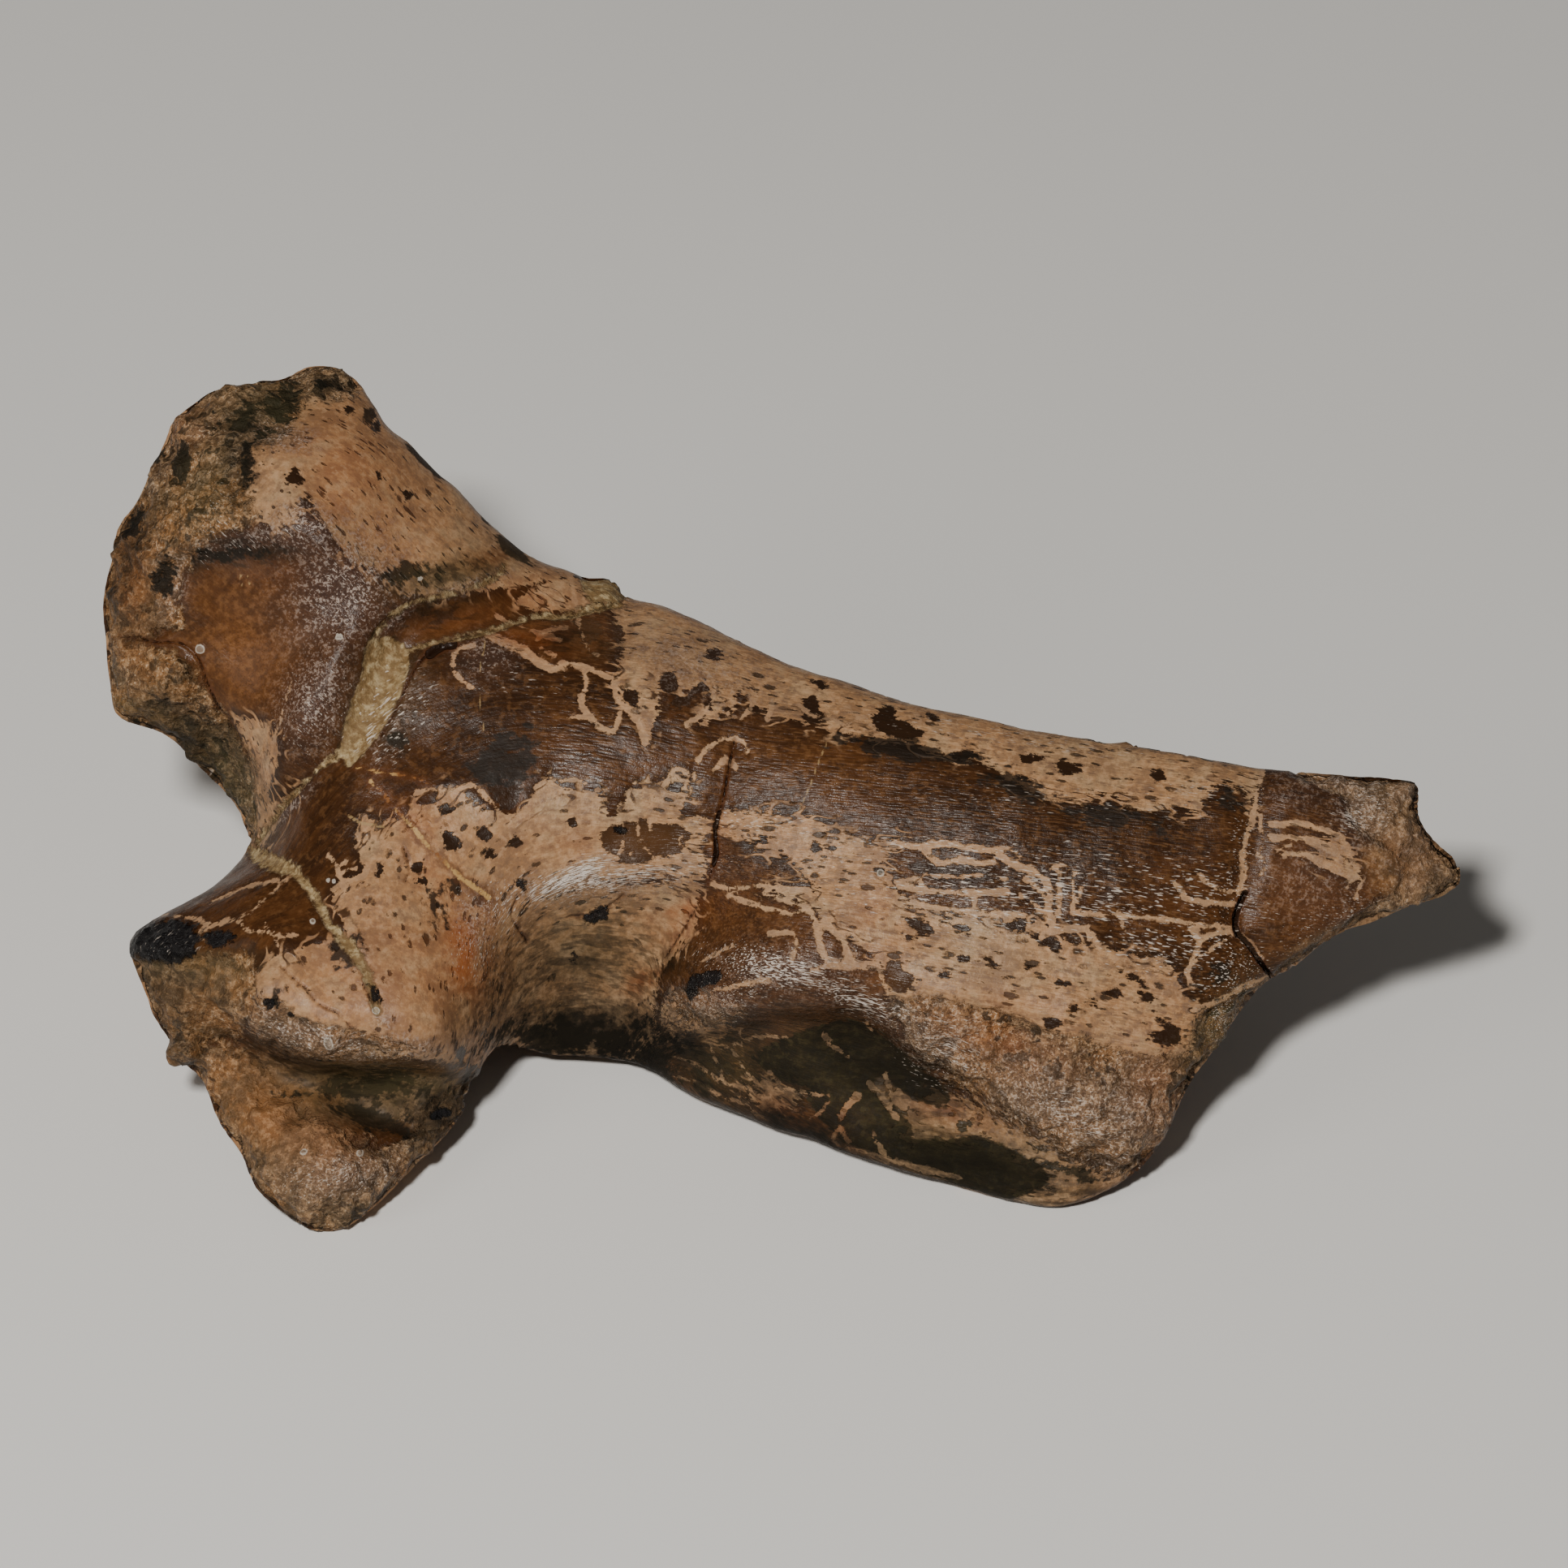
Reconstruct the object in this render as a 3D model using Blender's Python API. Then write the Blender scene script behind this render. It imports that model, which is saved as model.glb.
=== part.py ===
"""A broken neural arch of a hypacrosaurus vertebra, lying on its two front lobes and its back foot.

The bone is one fossil piece. It is laid out as a collector sees it from the front: x runs to the right along the
blade, y up and depth away from the eye. Positions on the face are read off a picture of the bone, in its pixels, and
depths are millimetres. The last step turns the bone from that view to its resting pose, with +Z up.
"""

import math

import bmesh
import bpy
import numpy as np
from mathutils import Matrix, Vector, noise
from mathutils.geometry import delaunay_2d_cdt

MM = 0.001

# The real length of the bone, and the same length in the picture
LENGTH = 180.0
PICTURE_LENGTH = 1678.0
PICTURE_CENTRE = (966.0, 966.0)
PIXEL = LENGTH / PICTURE_LENGTH

# The eye looks down on the resting bone from here
VIEW_ELEVATION = math.radians(40.0)
EYE_DISTANCE = 1200.0

# Sizes of the surface
OUTLINE_STEP = 1.3
FACE_STEP = 1.4
RIM_ROWS = (0.2, 0.7, 1.5, 2.6)
RIM_SHARE = 0.45
RIM_RADII = (2.0, 9.0)
LEAST_THICKNESS = 5.5
VOXEL = 0.95
SMOOTH_ROUNDS = 3
MOST_TRIANGLES = 9400
FOOT_CUT = 0.7

# The bone's outline, clockwise from the top of the upper lobe, in the picture's pixels
OUTLINE = [
    (375, 450), (393, 449), (415, 450), (431, 459), (447, 475), (463, 497), (478, 526), (500, 541),
    (520, 562), (545, 589), (563, 601), (582, 622), (602, 643), (626, 663), (650, 683), (675, 696),
    (702, 705), (725, 716), (743, 713), (757, 714), (763, 729), (775, 741), (800, 741), (826, 748),
    (850, 757), (876, 768), (903, 781), (936, 798), (976, 819), (1020, 834), (1075, 850), (1130, 866),
    (1190, 880), (1260, 895), (1330, 907), (1400, 918), (1470, 929), (1550, 943), (1620, 950),
    (1680, 955), (1725, 957), (1752, 962), (1755, 980), (1750, 1003), (1762, 1022), (1780, 1040),
    (1797, 1056), (1803, 1076), (1803, 1093), (1790, 1104), (1765, 1112), (1726, 1124), (1700, 1138),
    (1665, 1148), (1640, 1158), (1610, 1180), (1590, 1196), (1568, 1203), (1549, 1220), (1530, 1250),
    (1510, 1280), (1489, 1307), (1465, 1340), (1450, 1370), (1435, 1401), (1414, 1432), (1385, 1460),
    (1350, 1478), (1320, 1487), (1290, 1491), (1250, 1483), (1200, 1470), (1150, 1456), (1100, 1441),
    (1050, 1424), (1000, 1404), (950, 1391), (900, 1372), (850, 1351), (812, 1325), (775, 1310),
    (700, 1305), (640, 1304), (603, 1302), (593, 1328), (581, 1355), (567, 1380), (547, 1405),
    (525, 1426), (500, 1450), (475, 1476), (450, 1500), (430, 1516), (411, 1522), (388, 1521),
    (364, 1509), (340, 1490), (316, 1470), (305, 1449), (298, 1426), (285, 1405), (266, 1384),
    (258, 1355), (250, 1334), (236, 1315), (216, 1305), (210, 1293), (214, 1282), (200, 1270),
    (188, 1250), (178, 1225), (167, 1195), (158, 1164), (170, 1147), (200, 1125), (250, 1098),
    (280, 1075), (302, 1051), (305, 1030), (295, 1009), (275, 981), (255, 960), (236, 940),
    (214, 916), (190, 901), (165, 893), (141, 885), (135, 868), (138, 850), (131, 825), (128, 790),
    (125, 752), (127, 720), (136, 690), (141, 660), (148, 640), (165, 620), (178, 590), (195, 560),
    (205, 530), (215, 512), (240, 494), (262, 478), (285, 468), (320, 466), (350, 468), (364, 457),
]

# How far each place on the front is from the eye: x, y in the picture and the depth
FRONT = [
    # Upper lobe: its rough rim, the dish on its face and the facet that slopes to the top edge
    (160, 700, 16), (230, 560, 15), (300, 500, 17), (400, 475, 22), (300, 600, 9), (250, 680, 8.5),
    (340, 660, 5), (430, 690, 6.5), (330, 780, 10.5), (250, 780, 12.5), (300, 860, 11.5),
    (420, 800, 7), (380, 880, 6), (345, 950, 9), (200, 850, 11.5), (160, 850, 15), (260, 930, 18),
    (300, 980, 17), (450, 560, 12.5), (500, 620, 14), (560, 680, 14.5), (620, 700, 17), (520, 700, 11),
    (470, 740, 9.5),
    # Body, between the lobes and the blade
    (400, 1000, 3), (340, 1050, 5), (520, 900, 5.5), (550, 850, 6.5), (600, 800, 9), (700, 790, 11),
    (780, 780, 13), (620, 930, 4), (700, 900, 5), (800, 850, 7), (850, 950, 4), (750, 1000, 3.5),
    (600, 1000, 2), (500, 1020, 1), (900, 850, 8), (1000, 880, 7), (1000, 950, 3), (1000, 1050, 1.5),
    (880, 1060, 4), (750, 1080, 6), (650, 1110, 6),
    # Vault under the body
    (650, 1180, 12), (750, 1170, 14), (820, 1150, 10), (660, 1250, 18), (740, 1250, 21),
    (800, 1240, 16), (640, 1300, 20), (720, 1300, 22), (790, 1305, 20),
    # Flange at the lower right: its shoulder, its underside and its rough end
    (870, 1150, 6), (860, 1200, 4), (900, 1200, 0), (980, 1190, -3), (1050, 1200, -3), (1000, 1240, -2),
    (900, 1250, 3), (950, 1300, 7), (1050, 1300, 5), (860, 1300, 12), (900, 1350, 13),
    (1000, 1390, 9), (1100, 1380, 6.5), (1100, 1430, 5), (1200, 1430, 3.5), (1290, 1470, 0.5),
    (1170, 1340, 3), (1150, 1280, -3), (1200, 1260, -4), (1300, 1300, -4.5), (1400, 1330, -3),
    (1300, 1390, -3), (1370, 1420, -1), (1450, 1300, -1.5), (1150, 1150, -2), (1300, 1200, -3),
    (1420, 1230, -1.5),
    # Blade, out to its broken tip
    (1100, 1000, 1.5), (1100, 930, 4), (1250, 1050, -0.5), (1250, 980, 1.5), (1250, 930, 5),
    (1400, 1100, -1), (1400, 1000, 1.5), (1400, 950, 5), (1500, 1150, 0), (1500, 1050, 0.5),
    (1520, 980, 3), (1600, 1000, 3), (1600, 1100, 2), (1650, 1060, 2.5), (1700, 980, 6),
    (1720, 1080, 4.5), (1780, 1080, 7),
    # Lower lobe: its plate
    (240, 1120, 3), (200, 1160, 3), (300, 1100, 1), (350, 1120, -2), (450, 1100, -3), (550, 1120, -1),
    (590, 1180, 1), (400, 1200, -7), (330, 1230, -8), (450, 1250, -9), (540, 1230, -6), (580, 1290, 0),
    (500, 1300, -7), (400, 1290, -8), (240, 1220, -1), (270, 1260, -1), (200, 1230, 2),
    # Lower lobe: the toe under the plate
    (250, 1310, 6), (300, 1340, 3), (350, 1330, 1), (420, 1340, 1), (500, 1340, 0), (470, 1375, 4),
    (550, 1360, 2), (400, 1400, -3), (320, 1410, -1), (430, 1450, -4), (350, 1470, -3.5),
    (480, 1430, 0), (410, 1500, -2), (540, 1400, 4),
]

# The same for the back, which the floor limits
BACK = [
    # Upper lobe
    (200, 600, 34), (200, 750, 38), (200, 870, 34), (330, 520, 36), (330, 700, 44), (330, 850, 43),
    (450, 600, 40), (450, 750, 46), (330, 960, 38), (580, 700, 40),
    # Body and the foot that it lies on
    (500, 900, 54), (420, 1000, 48), (600, 1000, 60), (700, 1050, 60), (760, 1060, 59), (650, 850, 52),
    (750, 800, 42), (850, 850, 38), (850, 950, 46), (850, 1050, 50), (700, 1150, 46), (800, 1150, 43),
    (650, 1250, 33), (750, 1250, 33.5), (700, 1290, 29), (560, 1100, 50), (560, 1200, 38),
    # Blade and flange
    (1000, 880, 28), (1000, 1000, 33), (1000, 1100, 32), (1000, 1200, 26), (1000, 1300, 21),
    (1000, 1370, 17), (1150, 950, 20), (1150, 1050, 22), (1150, 1200, 20), (1150, 1350, 14),
    (1300, 950, 15), (1300, 1050, 17), (1300, 1200, 17), (1300, 1350, 13), (1300, 1440, 10),
    (1450, 1000, 14), (1450, 1150, 15), (1430, 1300, 13), (1600, 1000, 13), (1600, 1120, 12.5),
    (1750, 1050, 11.5),
    # Lower lobe
    (250, 1150, 22), (350, 1150, 32), (450, 1150, 42), (250, 1230, 20), (350, 1250, 26),
    (450, 1250, 29), (550, 1280, 24), (300, 1350, 16), (400, 1350, 18), (500, 1350, 16),
    (400, 1430, 11), (405, 1495, 5), (480, 1430, 10),
]


def to_face(points):
    """Picture pixels as millimetres on the face, x to the right and y up."""
    pixels = np.array(points, float)[:, :2]
    return (pixels - PICTURE_CENTRE) * (PIXEL, -PIXEL)


def closed_curve(points, step):
    """Points a step apart on the smooth closed curve through the given ones."""
    curve = []
    count = len(points)
    for i in range(count):
        p0, p1, p2, p3 = (points[(i + k - 1) % count] for k in range(4))
        pieces = max(1, round(np.linalg.norm(p2 - p1) / step))
        for t in np.arange(pieces) / pieces:
            bend = 2 * p0 - 5 * p1 + 4 * p2 - p3
            twist = 3 * p1 - p0 - 3 * p2 + p3
            curve.append(0.5 * (2 * p1 + (p2 - p0) * t + bend * t**2 + twist * t**3))
    return np.array(curve)


def to_polyline(points, line, closed=False):
    """Distance from each point to a line of points, and on which side it lies: 1 to the line's right."""
    starts = line
    ends = np.roll(line, -1, axis=0)
    if not closed:
        starts, ends = line[:-1], line[1:]
    nearest = np.full(len(points), np.inf)
    side = np.ones(len(points))
    for start, end in zip(starts, ends):
        along = end - start
        t = np.clip((points - start) @ along / (along @ along), 0, 1)
        away = points - start - t[:, None] * along
        distance = np.linalg.norm(away, axis=1)
        closer = distance < nearest
        nearest = np.where(closer, distance, nearest)
        turn = along[0] * away[:, 1] - along[1] * away[:, 0]
        side = np.where(closer, np.where(turn > 0, -1, 1), side)
    return nearest, side


def smooth_sheet(soundings):
    """A function for the smooth sheet, a thin plate, through soundings of depth."""
    places = to_face(soundings)
    depths = np.array(soundings, float)[:, 2]
    count = len(places)

    def bend(points):
        square = ((points[:, None] - places[None]) ** 2).sum(-1)
        return 0.5 * square * np.log(square + 1e-9)

    flat = np.column_stack([np.ones(count), places])
    system = np.block([[bend(places), flat], [flat.T, np.zeros((3, 3))]])
    weights = np.linalg.solve(system, np.concatenate([depths, np.zeros(3)]))

    def depth(points):
        return bend(points) @ weights[:count] + weights[count] + points @ weights[count + 1 :]

    return depth


def fade(x):
    """0 at and below 0, 1 at and above 1, and smooth between."""
    x = np.clip(x, 0, 1)
    return x * x * (3 - 2 * x)


def scarp(points, picture_line, drop, width, reach):
    """A step that goes deeper on the line's right side and comes back to the sheet over its reach."""
    distance, side = to_polyline(points, to_face(picture_line))
    step = fade(0.5 + 0.5 * side * distance / width)
    return drop * step * (1 - fade(distance / reach))


def groove(points, picture_line, depth, width):
    """A round-bottomed furrow along the line, or a ridge where the depth is below zero."""
    distance, _ = to_polyline(points, to_face(picture_line))
    return depth * np.exp(-((distance / width) ** 2))


def rough(points, seed, grain, height, centre, radius):
    """Broken-bone lumps inside a round region of the face."""
    middle = to_face([centre])[0]
    share = 1 - fade((np.linalg.norm(points - middle, axis=1) / (radius * PIXEL) - 0.7) / 0.5)
    lumps = np.array([noise.fractal(Vector((*p, seed)) / grain, 1.0, 2.0, 3) for p in points])
    return height * lumps * share


def front_features(points):
    """What stands out of the front sheet or is cut into it."""
    valley = [(318, 1036), (350, 1004), (385, 962), (425, 925), (455, 865), (485, 800), (530, 768),
              (600, 755), (690, 748), (765, 738)]
    ledge = [(300, 1268), (330, 1290), (375, 1308), (450, 1318), (520, 1312), (572, 1322)]
    plate_edge = [(330, 1165), (308, 1210), (304, 1262), (330, 1290)]
    lump_edge = [(140, 782), (200, 790), (240, 812), (265, 868), (292, 905)]
    lobe_underside = [(150, 868), (230, 880), (280, 915), (304, 950), (310, 1015)]
    flange_brow = [(880, 1275), (930, 1256), (985, 1247), (1045, 1250), (1100, 1278), (1140, 1310),
                   (1180, 1338), (1250, 1376), (1310, 1410), (1375, 1432)]
    tip_crack = [(1553, 948), (1548, 1010), (1538, 1080), (1524, 1120), (1530, 1150), (1564, 1200)]
    slot = [(415, 1362), (455, 1374), (500, 1388)]
    dish_brow = [(205, 702), (245, 676), (290, 664), (330, 664)]
    facet_crease = [(340, 560), (372, 640), (430, 702), (500, 745)]
    lobe_ridge = [(460, 740), (425, 795), (385, 855), (352, 920), (326, 985)]
    plate_corner = [(158, 1172), (200, 1196), (250, 1188), (308, 1168)]
    broken_face = [(1085, 1222), (1160, 1232), (1240, 1248), (1330, 1284), (1400, 1302), (1462, 1330)]
    blade_crack = [(903, 912), (890, 985), (882, 1050), (866, 1100), (835, 1155), (802, 1198)]
    vault_ridge = [(610, 1130), (650, 1110), (720, 1086), (785, 1078), (850, 1085)]
    deeper = groove(points, valley, 2.6, 2.4)
    deeper += scarp(points, ledge, 7.5, 0.9, 9.0)
    deeper += scarp(points, plate_edge[::-1], -2.2, 1.2, 6.0)
    deeper += groove(points, lump_edge, 1.8, 1.5)
    deeper += scarp(points, lobe_underside, 3.0, 1.5, 7.0)
    deeper += scarp(points, flange_brow, 4.5, 1.6, 10.0)
    deeper += groove(points, tip_crack, 1.5, 1.3)
    deeper += groove(points, slot, 3.0, 1.6)
    deeper += scarp(points, dish_brow, 2.4, 1.2, 8.0)
    deeper += groove(points, facet_crease, -1.6, 2.6)
    deeper += groove(points, lobe_ridge, -2.2, 2.6)
    deeper += scarp(points, plate_corner, 2.6, 1.4, 7.0)
    deeper += scarp(points, broken_face, 1.3, 0.9, 14.0)
    deeper += groove(points, blade_crack, 0.9, 0.9)
    deeper += groove(points, vault_ridge, -1.4, 2.5)
    deeper += rough(points, 3.0, 6.0, 1.4, (210, 640), 130)
    deeper += rough(points, 9.0, 5.0, 1.2, (1300, 1330), 120)
    deeper += rough(points, 15.0, 6.0, 1.3, (390, 1420), 130)
    return deeper


def back_features(points):
    """The canal and the hollows of the back, and its broken faces."""
    canal = [(285, 1040), (400, 1085), (500, 1150), (575, 1225), (650, 1300)]
    spine_hollow = [(900, 960), (1050, 1060), (1250, 1090), (1450, 1080)]
    lobe_hollow = [(300, 640), (380, 730), (470, 800)]
    nearer = groove(points, canal, 11.0, 8.0)
    nearer += groove(points, spine_hollow, 3.5, 6.0)
    nearer += groove(points, lobe_hollow, 5.0, 8.0)
    nearer += rough(points, 21.0, 7.0, 2.2, (640, 980), 170)
    nearer += rough(points, 27.0, 6.0, 1.6, (220, 700), 150)
    nearer += rough(points, 33.0, 6.0, 1.4, (1320, 1300), 140)
    return -nearer


def face_points(outline):
    """Points that fill the outline: rows close to its rim, and a triangular lattice further in."""
    tangent = np.roll(outline, -1, axis=0) - np.roll(outline, 1, axis=0)
    inward = np.column_stack([tangent[:, 1], -tangent[:, 0]])
    inward /= np.linalg.norm(inward, axis=1)[:, None]
    rows = []
    for offset in RIM_ROWS:
        row = outline + inward * offset
        distance, side = to_polyline(row, outline, closed=True)
        rows.append(row[(distance > 0.9 * offset) & (side > 0)])
    low, high = outline.min(0), outline.max(0)
    row_step = FACE_STEP * math.sqrt(3) / 2
    lattice = [
        (x + 0.5 * FACE_STEP * (j % 2), y)
        for j, y in enumerate(np.arange(low[1], high[1], row_step))
        for x in np.arange(low[0], high[0], FACE_STEP)
    ]
    lattice = np.array(lattice)
    distance, side = to_polyline(lattice, outline, closed=True)
    rows.append(lattice[(side > 0) & (distance > RIM_ROWS[-1] + 0.6 * FACE_STEP)])
    return np.vstack(rows)


def sheet_depth(points, sheet, features, rim, from_rim):
    """The depth of a sheet, rounded over to the rim's own depth where it nears the outline."""
    depth = sheet(points) + features(points)
    radius = np.clip(np.abs(depth - rim), *RIM_RADII)
    share = np.clip(from_rim / radius, 0, 1)
    rounding = np.sqrt(1 - (1 - share) ** 2)
    return rim + (depth - rim) * rounding


def two_sheets():
    """The bone's surface before it is smoothed: a front and a back sheet that share the outline."""
    outline = closed_curve(to_face(OUTLINE), OUTLINE_STEP)
    inside = face_points(outline)
    flat = np.vstack([outline, inside])
    count = len(outline)
    made = delaunay_2d_cdt([Vector(p) for p in flat], [], [list(range(count))[::-1]], 1, 1e-6)
    points = np.array([tuple(v) for v in made[0]])
    triangles = [tuple(f) for f in made[2]]
    from_rim, _ = to_polyline(points, outline, closed=True)
    front_sheet, back_sheet = smooth_sheet(FRONT), smooth_sheet(BACK)
    rim = (1 - RIM_SHARE) * front_sheet(points) + RIM_SHARE * back_sheet(points)
    front = sheet_depth(points, front_sheet, front_features, rim, from_rim)
    back = sheet_depth(points, back_sheet, back_features, rim, from_rim)
    back = np.maximum(back, front + LEAST_THICKNESS * np.clip(from_rim / 2.5, 0, 1))
    on_rim = from_rim < 1e-4
    mesh = bmesh.new()
    front_verts = [mesh.verts.new((*p, d)) for p, d in zip(points, front)]
    back_verts = [
        front_verts[i] if on_rim[i] else mesh.verts.new((*points[i], back[i])) for i in range(len(points))
    ]
    for a, b, c in triangles:
        mesh.faces.new((front_verts[a], front_verts[b], front_verts[c]))
        mesh.faces.new((back_verts[c], back_verts[b], back_verts[a]))
    return mesh


def to_rest(mesh):
    """From the view's axes, in millimetres and along the eye's rays, to the resting pose in metres."""
    for vert in mesh.verts:
        x, y, depth = vert.co
        spread = 1 + depth / EYE_DISTANCE
        vert.co = Vector((x * spread, depth, y * spread)) * MM
    turn = Matrix.Rotation(-VIEW_ELEVATION, 4, "X")
    bmesh.ops.transform(mesh, matrix=turn, verts=mesh.verts)


def evaluated(obj):
    """The object's mesh with its modifiers, as a plain mesh in its place."""
    graph = bpy.context.evaluated_depsgraph_get()
    mesh = bpy.data.meshes.new_from_object(obj.evaluated_get(graph))
    obj.modifiers.clear()
    obj.data = mesh


def fossil_material():
    """Dark brown cortical bone with a polished gloss."""
    material = bpy.data.materials.new("fossil_bone")
    material.use_nodes = True
    shader = material.node_tree.nodes["Principled BSDF"]
    shader.inputs["Base Color"].default_value = (0.26, 0.16, 0.095, 1)
    shader.inputs["Roughness"].default_value = 0.45
    shader.inputs["Metallic"].default_value = 0.0
    return material


def floor_cutter(low_z):
    """A block whose underside is the floor that the feet stand on."""
    bpy.ops.mesh.primitive_cube_add(size=1.0)
    block = bpy.context.object
    block.name = "floor_cutter"
    size = 0.5
    block.scale = (size, size, size)
    block.location = (0, 0, low_z + size / 2)
    block.hide_render = True
    block.display_type = "WIRE"
    return block


def make_bone():
    """The bone as one closed solid, lying on three flat feet with its base at z = 0."""
    sheets = two_sheets()
    to_rest(sheets)
    bmesh.ops.recalc_face_normals(sheets, faces=sheets.faces)
    mesh = bpy.data.meshes.new("vertebra_process")
    sheets.to_mesh(mesh)
    sheets.free()
    bone = bpy.data.objects.new("vertebra_process", mesh)
    bpy.context.scene.collection.objects.link(bone)

    remesh = bone.modifiers.new("even_surface", "REMESH")
    remesh.mode = "VOXEL"
    remesh.voxel_size = VOXEL * MM
    smooth = bone.modifiers.new("soften", "SMOOTH")
    smooth.factor = 0.5
    smooth.iterations = SMOOTH_ROUNDS
    evaluated(bone)

    thin_out = bone.modifiers.new("thin_out", "DECIMATE")
    quads = len(bone.data.polygons)
    thin_out.ratio = MOST_TRIANGLES / (2 * quads)
    evaluated(bone)

    corners = np.array([v.co for v in bone.data.vertices])
    low, high = corners.min(0), corners.max(0)
    floor = low[2] + FOOT_CUT * MM
    cut = bone.modifiers.new("feet", "BOOLEAN")
    cut.operation = "INTERSECT"
    cut.solver = "EXACT"
    cut.object = floor_cutter(floor)
    evaluated(bone)

    middle = (low + high) / 2
    bone.data.transform(Matrix.Translation((-middle[0], -middle[1], -floor)))
    bone["shift"] = (-middle[0], -middle[1], -floor)
    bone.data.shade_smooth()
    bone.data.materials.append(fossil_material())
    return bone


def main():
    for obj in list(bpy.data.objects):
        bpy.data.objects.remove(obj, do_unlink=True)
    make_bone()


main()
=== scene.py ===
"""The looks of a fossil vertebra process: its fine surface, its colours and a plain studio stage.

Marks on the bone's front are drawn as lines and outlines on the picture plane, in pixels, and are cast onto the
surface along the eye's rays. The hidden sides get marks of the same kinds, grown over the surface from fixed seeds.
"""

import math

import bmesh
import bpy
import numpy as np
from bpy.props import FloatProperty, FloatVectorProperty, IntProperty, PointerProperty
from mathutils import Matrix, Vector, noise
from mathutils.bvhtree import BVHTree
from mathutils.kdtree import KDTree


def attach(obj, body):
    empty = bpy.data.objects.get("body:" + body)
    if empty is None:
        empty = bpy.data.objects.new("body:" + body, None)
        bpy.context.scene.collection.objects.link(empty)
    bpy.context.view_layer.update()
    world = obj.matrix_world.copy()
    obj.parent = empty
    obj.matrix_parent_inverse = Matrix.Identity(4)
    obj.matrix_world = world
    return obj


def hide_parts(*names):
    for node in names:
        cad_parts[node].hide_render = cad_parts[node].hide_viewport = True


bl_info = {
    "name": "Fossil vertebra process",
    "version": (1, 0, 0),
    "blender": (4, 5, 0),
    "location": "3D View > Sidebar > Fossil",
    "description": "Dresses the packed bone with its etched, cracked and broken surface, and sets its stage",
    "category": "Object",
}

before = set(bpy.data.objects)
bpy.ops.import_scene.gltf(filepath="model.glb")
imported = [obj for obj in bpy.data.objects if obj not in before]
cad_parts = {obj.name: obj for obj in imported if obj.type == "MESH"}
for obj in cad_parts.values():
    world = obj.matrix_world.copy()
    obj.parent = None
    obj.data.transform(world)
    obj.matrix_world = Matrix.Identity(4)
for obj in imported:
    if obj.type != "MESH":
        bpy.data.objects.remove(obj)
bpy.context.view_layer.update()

NODE = "vertebra_process"
MM = 0.001

# The picture plane that the marks are drawn on, and where the part's source puts it
PIXEL = 180.0 / 1678.0
CENTRE = (966.0, 966.0)
EYE_DISTANCE = 1200.0
ELEVATION = math.radians(40.0)
REST_SHIFT = (0.880, -10.862, 46.330)

# ---------- Marks, as they are seen from the front ----------

# Areas are closed outlines and lines are open ones, both written flat: across, down, across, down and so on. A line
# starts with its half width. All are in pixels.

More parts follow.
